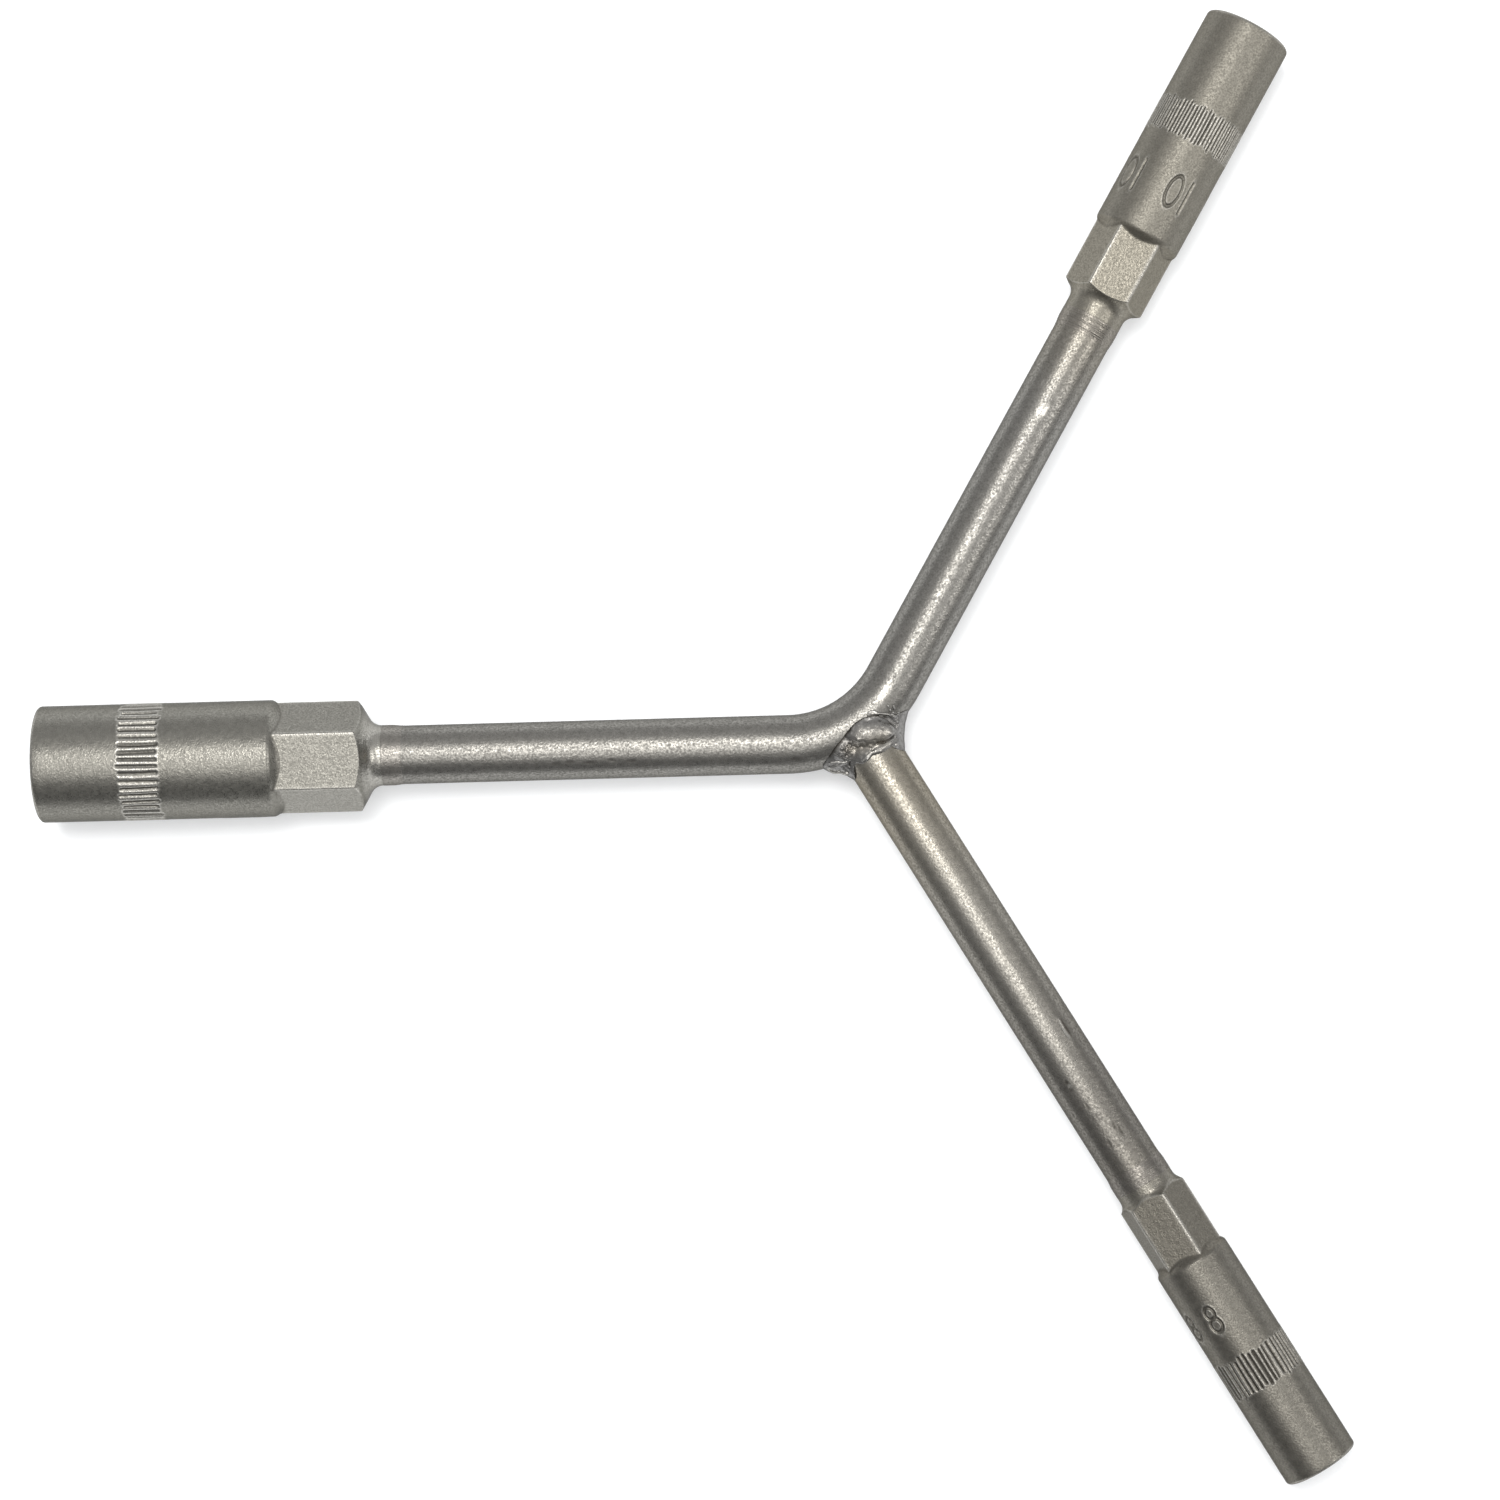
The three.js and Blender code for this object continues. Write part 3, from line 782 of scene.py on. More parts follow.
print("strokes for:", " ".join(STROKES))

# %% [markdown]
# ## Rings of a socket
# The rings stand close together only where the form changes along the arm: at the fillet, the
# ends of the flats, the numbers and the ends of the grooves. The last rings turn round the
# mouth's edge and go inside, down the lead-in, the hexagonal hole, its narrow seat and the
# drilled hole behind it.

# %% Rings outside and inside
MOUTH_ROUND = 0.6
LEAD_IN = 0.3
NUT_CLEARANCE = 0.1
SEAT_WIDTH = 0.6
BORE_CORNER_ROUND = 0.15
DRILLED_DEPTH = 33.0
DRILL_POINT = math.tan(math.radians(59))


def socket_stations(size):
    """Places of the rings on the outside, up to the start of the mouth's rounding."""
    stretches = [
        (size.seam + SEAM_GAP, 0.35),
        (size.fillet_from, 0.1),
        (size.hex_from + 1.3, 0.9),
        (size.body_from - size.body + size.across / 2 - 0.6, 0.09),
        (size.body_from + 0.5, 0.7),
        (size.number_far - size.number_height - 0.5, 0.13),
        (size.number_far + 0.5, 0.7),
        (size.knurl_from - 0.6, 0.14),
        (size.knurl_from + 0.8, 0.8),
        (size.knurl_to - 0.8, 0.14),
        (size.knurl_to + 0.6, 1.0),
    ]
    return stations(stretches, size.reach - MOUTH_ROUND)


def bore_rings(size, nut, flat_angles):
    """(along, radius) of the rings inside, from the mouth's face to the drill point."""
    across = nut + NUT_CLEARANCE
    hole = hexagon(flat_angles, across, BORE_CORNER_ROUND)
    drilled = across / 2 - SEAT_WIDTH
    lead = across / math.sqrt(3) + LEAD_IN
    rings = [(size.reach, np.full_like(hole, lead + 0.1))]
    for depth in np.arange(0.0, lead - across / 2 + 0.2, 0.16):
        rings.append((size.reach - depth, soft_max(hole, lead - depth, 0.12)))
    bottom = size.reach - size.nut_depth
    for along in (size.reach - 4.0, bottom + 5.0, bottom + 0.15, bottom):
        rings.append((along, hole))
    point = size.reach - DRILLED_DEPTH
    turned = [(bottom, drilled + 0.1), (bottom, drilled), (bottom - 0.15, drilled)]
    turned += [(point, drilled), (point - 0.1, drilled - 0.15)]
    turned.append((point - drilled / DRILL_POINT, 0.04))
    return rings + [(along, np.full_like(hole, radius)) for along, radius in turned]


print("rings outside:", {name: len(socket_stations(s)) for name, s in SOCKETS.items()})

# %% [markdown]
# ## The three sockets
# Grooves and numbers are depths that are taken off the outside's radius, and what each form
# darkens or rubs bright adds up to the painted values. The neck gets rubbed metal and a painted
# highlight, and one flat a painted reflection: both are painted a little brighter than the rest.
# The rings inside have only a half or a quarter of the points.

# %% Build the three sockets
MOUTH_SHINE = 0.45
MATT_HEXAGON = 0.3
STRAW_BODY = 0.65


def on_highlighted_flat(along, angles, size):
    """1 on the flat of the hexagon that is painted brighter, a painted reflection."""
    off = np.abs(folded(angles - math.radians(size.highlighted_flat)))
    on_hexagon = soft_step((along - size.hex_from) / 0.4)
    on_hexagon = on_hexagon * soft_step((size.body_from - 1.0 - along) / 0.8)
    return on_hexagon * soft_step((CORNER / 2 - off) / 0.05)


def build_socket(text, seed, inner_share):
    size = SOCKETS[text]
    draw = np.random.default_rng(seed)
    count = size.grooves * size.points_per_groove
    flat_angles = np.arange(count) * 2 * math.pi / count
    along = socket_stations(size)[:, None]
    angles = uneven_angles(along, flat_angles, size, draw)
    radius, worn, hollow = outside(along, flat_angles, size)
    for depth, dark, shine in (
        groove_depth(along, flat_angles, size, draw),
        rolled_numbers(along, angles, size, text),
    ):
        radius, hollow, worn = radius - depth, hollow + dark, worn + shine
    # Rubbed metal and a painted highlight: the neck is painted brighter.
    worn = worn + size.neck_highlight * soft_step((size.hex_from - along) / 0.8)
    # Painted reflection: one flat of the hexagon is painted brighter than the others.
    worn = worn + size.flat_highlight * on_highlighted_flat(along, flat_angles, size)
    rings = list(ring_points(along, radius, angles))

    flat = flat_angles + math.radians(size.roll)
    turns = np.linspace(0.0, math.pi / 2, 7)[1:]
    rim = [(math.sin(t) * MOUTH_ROUND, MOUTH_ROUND * (1 - math.cos(t))) for t in turns]
    for into, inward in rim + [(MOUTH_ROUND, MOUTH_ROUND + 0.1)]:
        rings.append(ring_points(size.reach - MOUTH_ROUND + into, size.body - inward, flat))
    mouth = np.zeros((len(rings) - len(along), count))
    for place, hole_radius in bore_rings(size, int(text), flat_angles[::inner_share]):
        rings.append(ring_points(place, hole_radius, flat[::inner_share]))

    straw = size.straw * np.where(along < size.body_from, 1.0, STRAW_BODY)
    matt = size.matt * np.where(along > size.body_from - 1.0, 1.0, MATT_HEXAGON)
    painted = {
        "worn": np.vstack([worn, mouth + MOUTH_SHINE]),
        "hollow": hollow,
        "straw": np.vstack([straw + 0 * worn, straw[-1] + mouth]),
        "dull": np.full(worn.size + mouth.size, size.dull),
        "matt": matt + 0 * worn,
    }
    place = arm_frame(size.arm, size.offset)
    piece = skin(f"socket_{text}mm_turned", rings, place, socket_steel, painted)
    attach(piece, "root")
    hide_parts(f"socket_{text}mm")


build_socket("14", seed=14, inner_share=4)
build_socket("10", seed=10, inner_share=2)
build_socket("8", seed=8, inner_share=4)

# %% [markdown]
# ## The two bars
# A drawn bar is a plain cylinder, so its life shows only in small things: the skin is a little
# wavy, and there are a few knocks from the bin it was stored in. The bent bar is made straight
# first and then laid along its centre line: two straight runs with an arc between them. Its
# knocks can then be given, as on the straight bar, by a place along it and an angle around it. A
# knock is a dent with a low lip. It is either painted bright or, with its last value below zero,
# painted darker. One entry of the bent bar has no depth: it is a painted highlight on the bend.

# %% Bend and knocks
BEND_RADIUS = 21.0
BEND_TURN = math.radians(SOCKETS["10"].arm)
KNOCK_LIP = 0.3

half_arc = BEND_RADIUS * BEND_TURN / 2
tangent_length = BEND_RADIUS * math.tan(BEND_TURN / 2)
bend_centre = np.array([-tangent_length, BEND_RADIUS])


def along_bend(points):
    """Lays points of a straight bar, whose X is 0 at the middle of the bend, along the bent one."""
    on_arc = np.clip(points[..., 0], -half_arc, half_arc)
    heading = BEND_TURN / 2 + on_arc / BEND_RADIUS
    ahead = np.stack([np.cos(heading), np.sin(heading)], axis=-1)
    side = np.stack([-np.sin(heading), np.cos(heading)], axis=-1)
    beyond = (points[..., 0] - on_arc)[..., None]
    flat = bend_centre + side * (points[..., 1:2] - BEND_RADIUS) + ahead * beyond
    return np.concatenate([flat, points[..., 2:3]], axis=-1)


def knocked_radius(along, angles, knocks):
    """(radius, worn, hollow). A knock is (along, degrees, length, width, depth, shine)."""
    radius = np.full(np.broadcast(along, angles).shape, BAR_RADIUS)
    worn, hollow = np.zeros((2, *radius.shape))
    for at, degrees, length, width, depth, shine in knocks:
        around = folded(angles - math.radians(degrees)) * BAR_RADIUS
        off = np.hypot((along - at) / length, around / width)
        radius -= depth * soft_step(1.3 - off)
        radius += depth * KNOCK_LIP * np.exp(-(((off - 1.4) / 0.3) ** 2))
        worn += max(shine, 0.0) * soft_step(1.5 - off)
        hollow += max(-shine, 0.0) * soft_step(1.5 - off)
    return radius, worn, hollow


print("the arc is", round(2 * half_arc, 1), "mm long")

# %% [markdown]
# The heat of the welds leaves a straw tint at the bars' ends, and the straight bar has it along
# its whole length. Its colour also gets painted shade, darker towards its socket, and a painted
# highlight runs along its top near the hub. All of that is painted on the points.

# %% Build the bars
BAR_POINTS = 136
BAR_STEP = 0.36
STRAIGHT_FROM = 2.05
WARM_END, WARM_END_STRAW = 18.0, 0.5
STRAIGHT_STRAW, WELD_STRAW = 0.35, 0.65
TOP_HIGHLIGHT_AT, TOP_HIGHLIGHT_WIDTH, TOP_HIGHLIGHT_PAINT = 0.16, 0.6, 0.25


def build_bar(name, node, start, end, knocks, bent):
    along = stations([(start, BAR_STEP)], end)[:, None]
    angles = np.arange(BAR_POINTS) * 2 * math.pi / BAR_POINTS
    radius, worn, hollow = knocked_radius(along, angles, knocks)
    rings = ring_points(along, radius, angles)
    straw = WARM_END_STRAW * soft_step((along - end + WARM_END) / WARM_END)
    if bent:
        place, rings, dull = arm_frame(0.0), along_bend(rings), 0 * along
    else:
        # Painted shade: towards its socket the straight bar is painted darker.
        place, dull = arm_frame(SOCKETS["8"].arm, SOCKETS["8"].offset), soft_step((along - 25) / 50)
        beside_weld = soft_step((36.0 - along) / 28.0) * soft_step((along - 1.0) / 5.0)
        straw = np.maximum(straw, STRAIGHT_STRAW) + WELD_STRAW * beside_weld
        # Painted highlight: near the hub a lighter band is painted along the top, where the lamp's
        # line falls.
        top_highlight = TOP_HIGHLIGHT_PAINT * soft_step((80.0 - along) / 25.0)
        worn = worn + top_highlight * np.exp(-((folded(angles - TOP_HIGHLIGHT_AT) / TOP_HIGHLIGHT_WIDTH) ** 2))
    painted = {"worn": worn, "hollow": hollow}
    for key, value in (("straw", straw), ("dull", dull)):
        painted[key] = np.broadcast_to(value, worn.shape)
    piece = skin(name, list(rings), place, bar_steel, painted)
    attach(piece, "root")
    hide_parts(node)


BENT_KNOCKS = [
    (62.7, 3.0, 1.0, 0.7, 0.05, 1.0), (63.8, 6.5, 0.5, 0.5, 0.06, 0.8),
    (67.2, -22.0, 0.6, 0.3, 0.05, 0.5), (-37.6, 27.0, 0.9, 0.3, 0.05, -0.5),
    (-40.9, 25.0, 0.7, 0.3, 0.05, -0.4), (-44.6, 28.5, 1.1, 0.3, 0.06, -0.5),
    # The entry at 8.0 mm, with no depth, is no knock but a painted highlight on the bend.
    (-47.9, 26.0, 0.8, 0.35, 0.05, -0.5), (8.0, -2.0, 1.9, 0.7, 0.0, 0.9),
    (-50.4, 29.0, 0.7, 0.3, 0.04, -0.4), (-9.9, 33.0, 0.8, 0.35, 0.06, -0.5),
    (-7.6, 35.0, 0.5, 0.3, 0.05, 0.4),
]
STRAIGHT_KNOCKS = [
    (59.5, -28.8, 1.7, 0.32, 0.14, 1.0), (59.3, -34.0, 1.6, 0.28, 0.05, -0.9),
    (67.2, 25.0, 0.4, 0.35, 0.08, -0.8), (67.9, 22.5, 0.4, 0.3, 0.06, 0.9),
    (68.5, 26.0, 0.4, 0.3, 0.06, -0.6), (77.6, -9.5, 1.0, 0.16, 0.08, -0.7),
    (78.7, -15.0, 1.1, 0.16, 0.08, -0.7), (72.4, 15.0, 0.6, 0.3, 0.04, -0.4),
    (74.6, 19.0, 0.5, 0.25, 0.04, -0.5), (79.6, 17.0, 0.9, 0.25, 0.04, -0.5),
]
left_end, upper_end = (half_arc + SOCKETS[k].seam - tangent_length for k in ("14", "10"))
build_bar(
    "bent_bar_drawn", "bent_bar", SEAM_GAP - left_end, upper_end - SEAM_GAP, BENT_KNOCKS, bent=True
)
build_bar(
    "straight_bar_drawn", "straight_bar", STRAIGHT_FROM, SOCKETS["8"].seam - SEAM_GAP,
    STRAIGHT_KNOCKS, bent=False,
)

# %% [markdown]
# ## Butt welds at the necks
# Each neck is welded to its bar in a groove, and the joint is then turned flush. What shows is a
# tinted band, a hair thicker than the bar, that widens to the neck. Turning leaves fine lines in
# it, clear ones at the 10 mm socket, faint ones at the 8 mm one and none at the 14 mm one.

# %% Build the butt welds
WELD_HALF = 1.75
WELD_STEP = 0.07
WELD_POINTS = 96
WELD_PROUD = 0.02
TURNED_LINES = (0.45, 0.31)
LINE_DARKENING = 16.0


def build_butt_weld(text, line_depth, straw):
    size = SOCKETS[text]
    off = stations([(-WELD_HALF, WELD_STEP)], WELD_HALF)
    angles = np.arange(WELD_POINTS) * 2 * math.pi / WELD_POINTS
    blend = soft_step((off + WELD_HALF) / WELD_HALF)
    lines = sum(np.sin(2 * math.pi * off / pitch) for pitch in TURNED_LINES)
    radius = BAR_RADIUS + WELD_PROUD + (NECK_RADIUS - BAR_RADIUS) * blend + line_depth * lines
    rings = list(ring_points((size.seam + off)[:, None], radius[:, None], angles))
    for index in (0, len(rings)):
        end = size.seam + (WELD_HALF + 0.12) * (1 if index else -1)
        rings.insert(index, ring_points(end, BAR_RADIUS - 0.2, angles))
    # The hollows of the turned lines are painted darker.
    dirt = np.pad(np.clip(-lines / 2, 0, 1) * line_depth * LINE_DARKENING, 1)
    painted = {"hollow": np.repeat(dirt, WELD_POINTS)}
    # Each weld also gets the painted shade of its socket.
    for key, value in (("straw", straw), ("dull", size.dull)):
        painted[key] = np.full(len(rings) * WELD_POINTS, value)
    place = arm_frame(size.arm, size.offset)
    piece = skin(f"butt_weld_{text}mm_turned", rings, place, weld_steel, painted)
    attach(piece, "root")
    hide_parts(f"butt_weld_{text}mm")


build_butt_weld("14", 0.0, straw=0.45)
build_butt_weld("10", 0.016, straw=0.8)
build_butt_weld("8", 0.004, straw=0.7)

# %% [markdown]
# ## The weld at the hub
# A weld bead is a frozen puddle. It has no section to turn or sweep, and fills the corner between
# the two bars with soft hollows and lumps. Such a form is easier to describe as a field: a
# function that is below zero inside the metal. Fields of simple forms are joined with the same
# smooth minimum as before, which gives the flowing corners of molten metal for free. The function
# `wrap` then finds the surface. It samples a rough field on a fine grid and the real one only
# near the surface. Every cell that the surface crosses gets one point, neighbouring points are
# joined, and at last each point slides along the field's slope until it lies on the surface. The
# back is welded like the front, so only the half above the middle plane is sampled.

# %% Wrap a field in a mesh
NEAR_SURFACE = 1.2


def grid_of(*axes):
    return np.stack(np.meshgrid(*axes, indexing="ij"), axis=-1)


def slope_of(field, points, reach=0.02):
    steps = np.eye(3) * reach
    return np.stack([(field(points + d) - field(points - d)) / (2 * reach) for d in steps], axis=-1)


def wrap(field, rough, low, high, step):
    """(points, faces) of the surface where `field` is 0. Below z = 0 it is mirrored."""
    upward = np.arange(0.0, high[2] + step, step)
    axes = [np.arange(lo, hi + step, step) for lo, hi in zip(low, high[:2])]
    half = grid_of(*axes, upward)
    value = rough(half)
    near = np.abs(value) < NEAR_SURFACE
    value[near] = field(half[near])
    value = np.concatenate([value[:, :, :0:-1], value], axis=2)
    grid = grid_of(*axes, np.append(-upward[:0:-1], upward))
    cells = np.array(value.shape) - 1
    total, hits = np.zeros((*cells, 3)), np.zeros(cells, int)
    crossings = []
    for axis in range(3):
        crossed = np.argwhere(np.diff(value < 0, axis=axis))
        ahead, u, v = np.roll(np.eye(3, dtype=int), -axis, axis=0)
        first, second = value[tuple(crossed.T)], value[tuple((crossed + ahead).T)]
        points = grid[tuple(crossed.T)] + (first / (first - second))[:, None] * ahead * step
        corners = [crossed - u - v, crossed - v, crossed, crossed - u]
        crossings.append((corners, first < 0))
        for corner in corners:
            np.add.at(total, tuple(corner.T), points)
            np.add.at(hits, tuple(corner.T), 1)
    number = np.full(cells, -1)
    number[hits > 0] = np.arange((hits > 0).sum())
    faces = []
    for corners, leaving in crossings:
        quads = np.stack([number[tuple(corner.T)] for corner in corners], axis=1)
        quads[~leaving] = quads[~leaving, ::-1]
        faces += quads.tolist()
    points = total[hits > 0] / hits[hits > 0][:, None]
    for _ in range(2):
        slope = slope_of(field, points)
        move = field(points) / np.maximum((slope**2).sum(axis=-1), 0.2)
        points = points - slope * np.clip(move, -step, step)[:, None]
    return points, faces


def test_ball(points):
    return np.linalg.norm(points, axis=-1) - 1.0


test_points, test_faces = wrap(test_ball, test_ball, (-1.3, -1.3), (1.3, 1.3, 1.3), 0.2)
print("a wrapped ball:", len(test_points), "points,", len(test_faces), "faces")

# %% [markdown]
# ## Fields of simple forms
# Three forms are enough: an ellipsoid for a blob, a rod with round ends, which is a line less a
# radius, for a ridge or a drop of spatter, and a flat plate with any outline for the webs in the
# crotches. The two bars are a cylinder and a ring. Everything is given in the frame of the
# straight bar: X runs out along it, Y towards the right crotch, Z up. The distance from an
# outline is the same at every height, so it is worked out once on a fine flat grid, as a map, and
# then only looked up.

# %% Blobs, plates and maps
PLAN_LOW = np.array([-5.6, -10.2])
PLAN_HIGH = np.array([7.6, 11.6])
PLAN_STEP = 0.04


def blob(points, centre, radii, axes=np.eye(3)):
    """An ellipsoid. Near its surface the value is close to a distance in millimetres."""
    scaled = ((points - centre) @ np.array(axes).T) / radii
    length = np.linalg.norm(scaled, axis=-1)
    slope = np.linalg.norm(scaled / radii, axis=-1)
    return length * (length - 1.0) / np.maximum(slope, 1e-6)


def outline_distance(points, outline):
    """The distance in plan from a closed outline, below zero inside it."""
    x, y = points[..., 0], points[..., 1]
    closed = outline + outline[:1]
    inside = np.zeros(x.shape, bool)
    for (ax, ay), (bx, by) in zip(closed, closed[1:]):
        if ay != by:
            crosses = (ay > y) != (by > y)
            inside ^= crosses & (x < ax + (y - ay) / (by - ay) * (bx - ax))
    return np.where(inside, -1.0, 1.0) * line_distance(points, closed)


class PlanMap:
    """A value that depends only on the place in plan."""

    def __init__(self, function):
        axes = [np.arange(lo, hi, PLAN_STEP) for lo, hi in zip(PLAN_LOW, PLAN_HIGH)]
        self.table = function(grid_of(*axes))

    def __call__(self, points):
        place = (points[..., :2] - PLAN_LOW) / PLAN_STEP
        place = np.clip(place, 0.0, np.array(self.table.shape) - 1.001)
        cell = place.astype(int)
        (i, j), (u, v) = np.moveaxis(cell, -1, 0), np.moveaxis(place - cell, -1, 0)
        near = self.table[i, j] * (1 - v) + self.table[i, j + 1] * v
        far = self.table[i + 1, j] * (1 - v) + self.table[i + 1, j + 1] * v
        return near * (1 - u) + far * u


STRAIGHT_AXIS_Y = SOCKETS["8"].offset
turn_to_straight = Matrix.Rotation(-math.radians(SOCKETS["8"].arm), 3, "Z")
bend_middle = np.array((turn_to_straight @ Vector((*bend_centre, 0.0)))[:2])


def bar_fields(points):
    x, y, z = points[..., 0], points[..., 1], points[..., 2]
    straight = np.hypot(y - STRAIGHT_AXIS_Y, z) - BAR_RADIUS
    from_centre = np.hypot(x - bend_middle[0], y - bend_middle[1])
    return straight, np.hypot(from_centre - BEND_RADIUS, z) - BAR_RADIUS


print("the bend's centre in this frame:", bend_middle.round(2))

# %% [markdown]
# ## Outline of the hub weld
# Seen from above, the weld has a sharp crease along its upper side, a soft toe along its lower
# one, and an edge across each crotch. These lines of corners, in millimetres, make its outline.
# One more line each runs along the valley between the bars, along the nugget and round the two
# webs. They are turned into maps once.

# %% Lines and maps
UPPER_CREASE = [
    (0.18, -7.4), (-0.72, -5.6), (-1.25, -4.33), (-1.9, -2.45), (-2.6, -0.54), (-3.0, 1.0),
    (-3.0, 2.75), (-2.55, 4.0), (-1.97, 5.06), (-1.26, 5.95), (-0.45, 7.15), (-0.3, 8.2),
    (-0.2, 9.6),
]
LOWER_TOE = [
    (4.95, 5.5), (4.6, 5.0), (4.0, 4.6), (3.45, 4.3), (3.5, 3.6), (3.6, 2.8), (3.3, 1.3),
    (3.1, 0.5), (3.4, -0.7), (3.3, -1.7), (2.6, -2.4), (2.9, -3.1), (3.7, -3.6), (4.7, -4.0),
]
RIGHT_EDGE = [(0.4, 9.07), (1.15, 8.4), (1.9, 7.85), (3.4, 6.75), (4.4, 6.12)]
LEFT_EDGE = [(3.6, -4.68), (2.8, -5.15), (2.0, -6.6), (1.5, -6.95)]
OUTLINE = UPPER_CREASE + RIGHT_EDGE + LOWER_TOE + LEFT_EDGE
RIGHT_WEB = [(-0.2, 9.6)] + RIGHT_EDGE + [(5.5, 5.6), (2.0, 3.0), (-2.5, 6.0)]
LEFT_WEB = [(5.0, -4.1), (4.2, -4.45)] + LEFT_EDGE + [(0.2, -7.6), (-1.5, -4.0), (2.0, -1.0)]
VALLEY = [(0.3, -2.2), (0.85, -0.8), (1.3, 0.6), (1.65, 2.0), (2.0, 3.2)]
NUGGET = [(-0.9, 0.9), (0.9, 4.4)]

edge_map = PlanMap(lambda points: outline_distance(points, OUTLINE))
web_maps = [PlanMap(lambda points: outline_distance(points, web)) for web in (RIGHT_WEB, LEFT_WEB)]
valley_map = PlanMap(lambda points: line_distance(points, VALLEY))
print("the weld covers", round((edge_map.table < 0).sum() * PLAN_STEP**2), "mm2 in plan")

# %% [markdown]
# ## Large forms of the hub weld
# The bars, joined softly, fill the corner between them, and plates close both crotches. The metal
# covers the bars by a tenth of a millimetre inside the weld's outline and drops below them
# outside it: steeply along the upper side, where the real weld ends in a sharp crease, and gently
# along the lower one. A smooth nugget lies across the joint, where the welder stopped.

# %% Large forms
NUGGET_TURN = math.radians(64.5)
NUGGET_DIP = math.radians(9.0)
NUGGET_AT, NUGGET_RADII = np.array([-0.05, 2.6, 4.4]), np.array([3.9, 2.15, 1.5])
SHELF_AT, SHELF_RADII = np.array([-0.5, -2.9, 3.3]), np.array([1.9, 2.0, 1.5])
COVER, DROP, VALLEY_DEPTH, VALLEY_WIDTH = 0.10, 0.9, 0.30, 0.6
WEB_HALF = 2.5
OUTSIDE_MARGIN = 1.9

ahead = np.array([math.cos(NUGGET_TURN), math.sin(NUGGET_TURN), 0.0])
sideways = np.array([math.sin(NUGGET_TURN), -math.cos(NUGGET_TURN), 0.0])
dipped = ahead * math.cos(NUGGET_DIP) - np.array([0, 0, math.sin(NUGGET_DIP)])
nugget_axes = np.array([dipped, sideways, np.cross(dipped, sideways)])


def large_forms(points):
    """The weld without its small forms, for points above the middle plane."""
    straight, bent = bar_fields(points)
    height = points[..., 2]
    fillet = 1.0 + 3.6 * soft_step((4.8 - height) / 2.4)
    metal = soft_min(straight, bent, fillet)
    edge = edge_map(points)
    fade = 0.16 + 0.5 * soft_step((points[..., 0] + 0.5) / 2.0)
    fade = fade + 0.5 * soft_step((points[..., 1] - 6.6) / 1.2)
    valley = np.exp(-((valley_map(points) / VALLEY_WIDTH) ** 2))
    metal = metal - (COVER - DROP * soft_step(edge / fade) - VALLEY_DEPTH * valley)
    for web in web_maps:
        metal = soft_min(metal, soft_max(web(points), height - WEB_HALF, 2.6), 0.9)
    metal = soft_min(metal, blob(points, NUGGET_AT, NUGGET_RADII, nugget_axes), 0.9)
    metal = soft_min(metal, blob(points, SHELF_AT, SHELF_RADII), 0.8)
    return soft_max(metal, edge - OUTSIDE_MARGIN, 0.2)


def rough_weld(points):
    straight, bent = bar_fields(points)
    return np.maximum(soft_min(straight, bent, 4.0), edge_map(points) - OUTSIDE_MARGIN)


def top_of(line):
    """A line of (x, y) corners with the height at which each meets bar or weld from above."""
    heights = np.arange(6.8, 0.0, -0.04)
    lifted = []
    for x, y in line:
        column = np.stack([np.full_like(heights, x), np.full_like(heights, y), heights], axis=-1)
        metal = np.minimum(large_forms(column), np.minimum(*bar_fields(column)))
        lifted.append((x, y, float(heights[np.argmax(metal < 0)])))
    return lifted


print("heights across the nugget:", [round(p[2], 2) for p in top_of([(0, -2), (0, 2), (0, 5)])])

# %% [markdown]
# ## Small forms of the hub weld
# Up close the weld is anything but smooth. Ridges and drops of spatter stand on it, each a rod of
# (radius, lift, points). Creases and a small crack run through it, and a group of pits marks where
# gas came out. These are only slopes in the surface, so they are drawn in plan on one relief map.
# The same lines also say where the creases get painted shade and the ridges painted highlights.

# %% Ridges, creases and pits
RIDGES = [
    (0.50, -0.24, [(2.86, 1.35), (2.92, 2.5), (2.95, 4.0)]),
    (0.19, -0.02, [(2.78, 0.73), (3.28, -0.59)]),
    (0.17, -0.02, [(2.48, 0.62), (2.75, -0.3), (3.06, -1.2)]),
    (0.25, 0.0, [(-2.45, 4.95), (-1.95, 5.7), (-1.34, 6.48), (-0.6, 7.2)]),
    (0.17, 0.0, [(-2.84, 3.5), (-3.3, 3.81), (-3.24, 4.41), (-2.84, 4.97), (-2.35, 5.0)]),
    (0.30, -0.14, [(-2.9, 4.1), (-2.62, 4.65)]),
    (0.22, -0.02, [(-2.6, 7.2), (-2.45, 7.2)]),
    (0.20, 0.0, [(-1.85, 7.22), (-1.7, 7.1)]),
    (0.24, 0.02, [(-2.05, 8.0), (-1.65, 7.88)]),
    (0.20, 0.02, [(-1.18, 7.34), (-1.1, 7.42)]),
    (0.20, 0.02, [(-0.75, 8.1), (-0.7, 8.2)]),
    (0.26, 0.05, [(3.7, 5.0), (3.75, 5.12)]),
    (0.24, 0.03, [(1.5, -6.72), (2.05, -6.3), (2.65, -5.35), (3.4, -4.75)]),
    (0.15, 0.0, [(1.19, -6.4), (1.45, -4.9), (1.79, -3.8)]),
    (0.13, 0.0, [(0.5, -6.1), (0.95, -5.0), (1.5, -4.3)]),
]
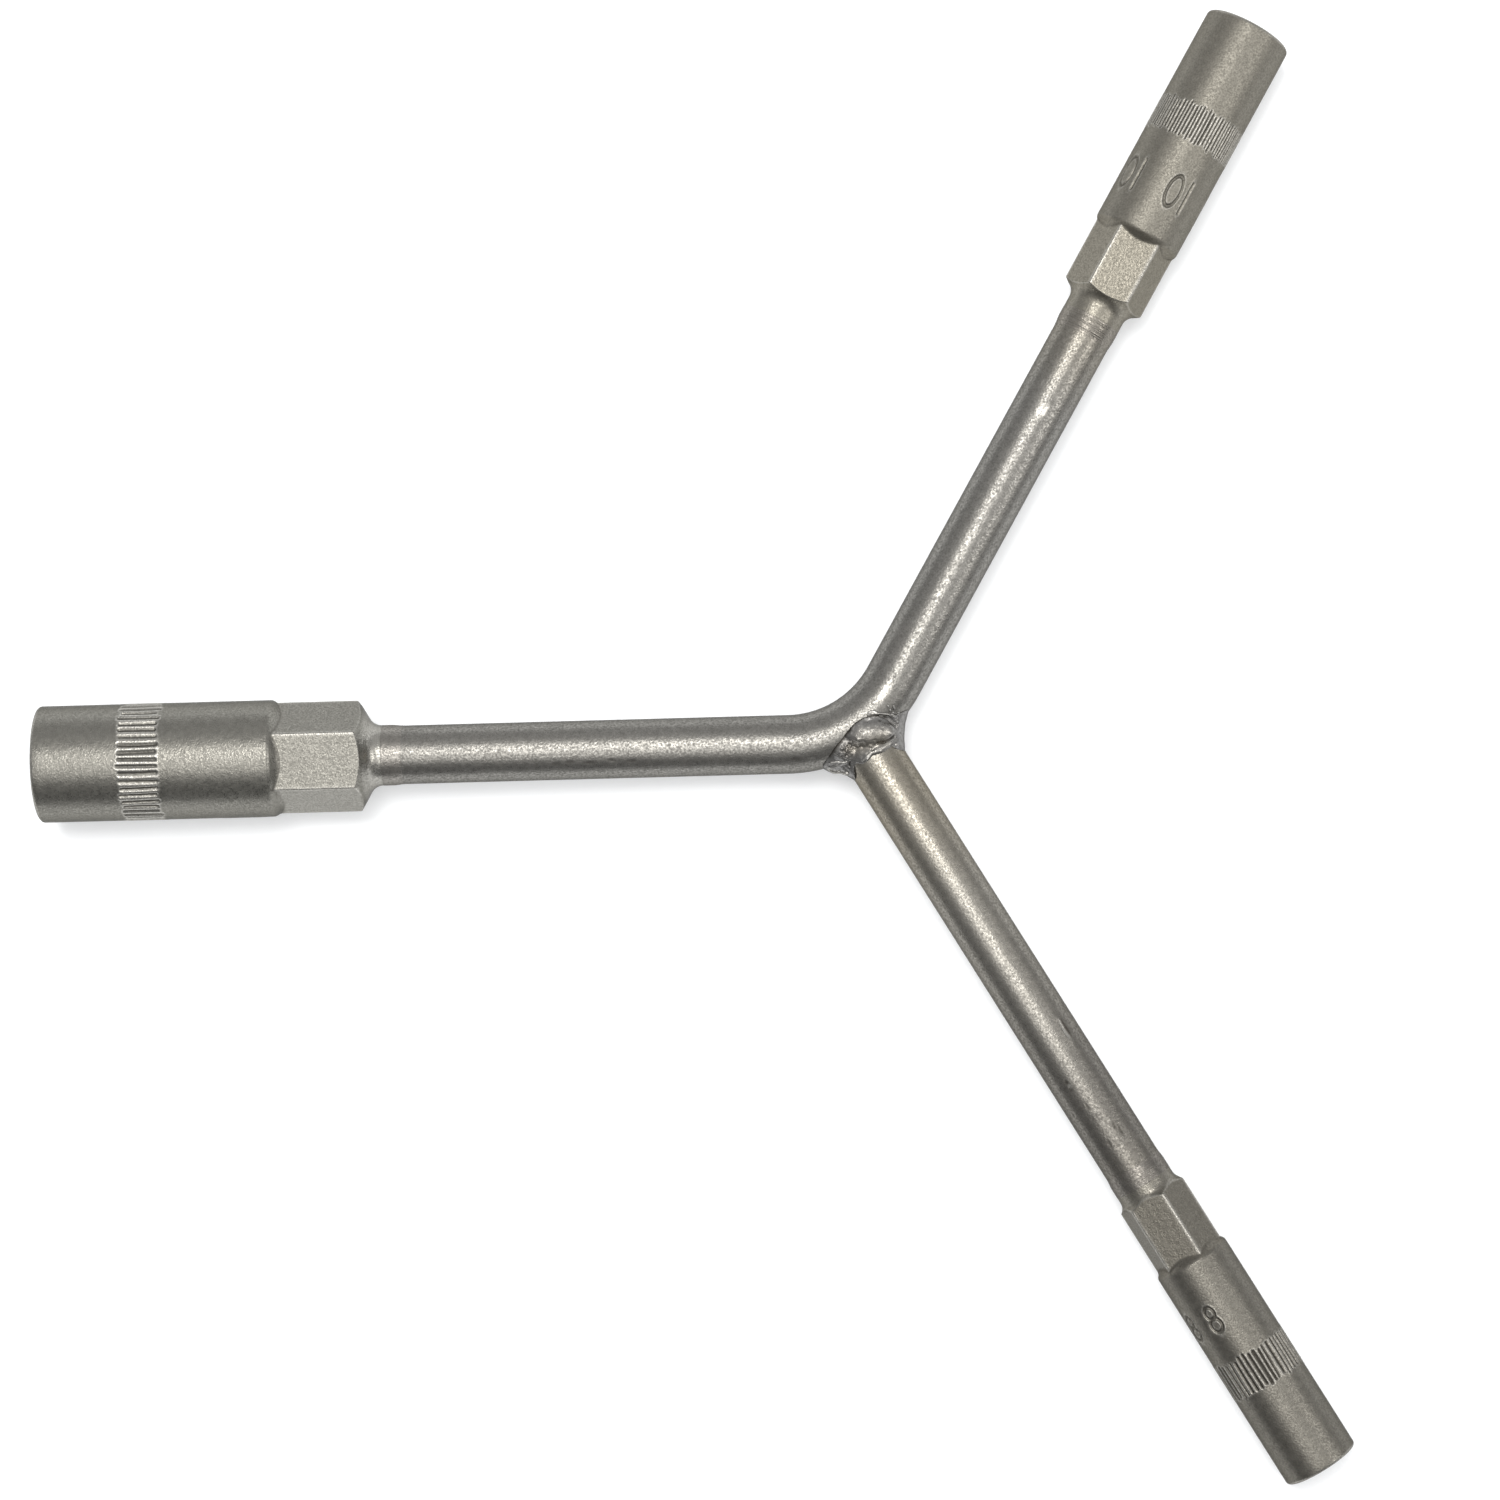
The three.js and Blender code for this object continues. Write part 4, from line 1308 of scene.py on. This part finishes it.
# Each crease is (width, depth, darkness of its painted shade, line).
CREASES = [
    (0.42, 0.08, 1.0, UPPER_CREASE[1:5]), (0.22, 0.05, 0.9, UPPER_CREASE[4:10]),
    (0.12, 0.22, 0.9, [(1.95, -3.15), (2.3, -3.5), (2.6, -3.62)]),
    (0.16, 0.20, 0.5, [(1.85, 2.3), (2.32, 3.3), (2.4, 4.3), (2.3, 5.3)]),
    (0.17, 0.11, 0.35, [(-1.9, 5.1), (-0.86, 5.85), (1.06, 6.42)]),
    (0.15, 0.09, 0.3, [(-0.89, 6.3), (0.93, 6.96)]),
    (0.14, 0.09, 0.4, [(3.3, 4.4), (3.62, 3.3), (3.55, 2.3), (3.2, 1.1)]),
    (0.13, 0.10, 0.5, [(3.05, 0.7), (3.55, -0.55)]), (0.12, 0.12, 0.6, [(2.45, 1.2), (2.58, -0.2)]),
    (0.15, 0.10, 0.4, [(2.3, -4.55), (2.84, -4.5), (3.4, -4.4)]),
    (0.12, 0.10, 0.5, [(-0.6, -4.6), (0.6, -4.0), (1.5, -3.6)]),
]
HILLS = [(0.10, 0.55, (-0.62, 1.12)), (0.08, 0.5, (-0.21, -0.23)), (0.07, 0.4, (0.91, 3.96)),
         (0.07, 0.4, (-0.52, 2.68))]
LEFT_WEB_HIGHLIGHT = [(1.3, -6.85), (2.0, -6.5), (2.7, -5.5), (3.4, -4.9)]
PITTED_AT = (0.05, -2.6)
PITS = 70
BUMPS = 500

draw = np.random.default_rng(5)
for _ in range(PITS):
    spot = draw.normal(PITTED_AT, (0.5, 0.75))
    HILLS.append((draw.choice([-0.13, -0.09, 0.11]), draw.uniform(0.12, 0.2), tuple(spot)))
for _ in range(BUMPS):
    spot = draw.uniform(PLAN_LOW, PLAN_HIGH)
    HILLS.append((draw.normal(0.0, 0.05), draw.uniform(0.22, 0.45), tuple(spot)))


def mark(points, width, line):
    return np.exp(-((line_distance(points, line) / width) ** 2))


def relief(points):
    total = np.zeros(points.shape[:-1])
    for height, width, (x, y) in HILLS:
        off = (points[..., 0] - x) ** 2 + (points[..., 1] - y) ** 2
        total += height * np.exp(-off / width**2)
    for width, depth, _, line in CREASES:
        total -= depth * mark(points, width, line)
    return total


relief_map = PlanMap(relief)
print("relief from", relief_map.table.min().round(2), "to", relief_map.table.max().round(2), "mm")

# %% Build the hub weld
rods = []
for radius, lift, line in RIDGES:
    path = np.array(top_of(line)) + (0.0, 0.0, lift)
    middle = (path.min(axis=0) + path.max(axis=0)) / 2
    rods.append((path, radius, middle, path.max(axis=0) - middle + radius + 0.3))


def hub_weld_field(points):
    points = np.concatenate([points[..., :2], np.abs(points[..., 2:3])], axis=-1)
    metal = large_forms(points) - relief_map(points)
    for path, radius, middle, span in rods:
        beside = (np.abs(points - middle) < span).all(axis=-1)
        ridge = line_distance(points[beside], path) - radius
        metal[beside] = soft_min(metal[beside], ridge, 0.3)
    return metal


hub_points, hub_faces = wrap(hub_weld_field, rough_weld, PLAN_LOW + 0.2, (7.2, 11.2, 6.8), 0.125)
# Painted shade: the creases and the sunk spots of the relief are painted darker.
hub_shade = sum(dark * mark(hub_points, width, line) for width, _, dark, line in CREASES)
hub_shade += np.clip(-relief_map(hub_points) - 0.08, 0.0, 0.2) * 1.2
# Painted highlights: the ridges, the left web's rim and the nugget are painted brighter.
hub_highlight = sum(0.5 * mark(hub_points, radius, line) for radius, _, line in RIDGES)
hub_highlight += mark(hub_points, 0.3, LEFT_WEB_HIGHLIGHT)
on_nugget = mark(hub_points, 1.4, NUGGET)
hub_highlight += 0.3 * on_nugget
hub_straw = 0.8 * mark(hub_points, 1.3, VALLEY) + 0.4 * on_nugget
hub_weld = mesh_piece(
    "hub_weld", on_bench(hub_points, arm_frame(SOCKETS["8"].arm)), hub_faces, weld_steel,
    {"hollow": hub_shade, "straw": hub_straw, "worn": hub_highlight},
)
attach(hub_weld, "root")
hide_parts("front_weld_bead", "back_weld_bead", "left_crotch_weld", "right_crotch_weld")

# %% [markdown]
# ## Sizes and the end
# The dressed tool has to have the size of the CAD model. Both boxes are written side by side.

# %% Compare the boxes
scene_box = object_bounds()
sizes = {
    "cad": [list(corner) for corner in cad_box],
    "scene": [list(corner) for corner in scene_box],
}
for name, (low, high) in sizes.items():
    print(name, "box in mm:", [round((b - a) / MM, 2) for a, b in zip(low, high)])
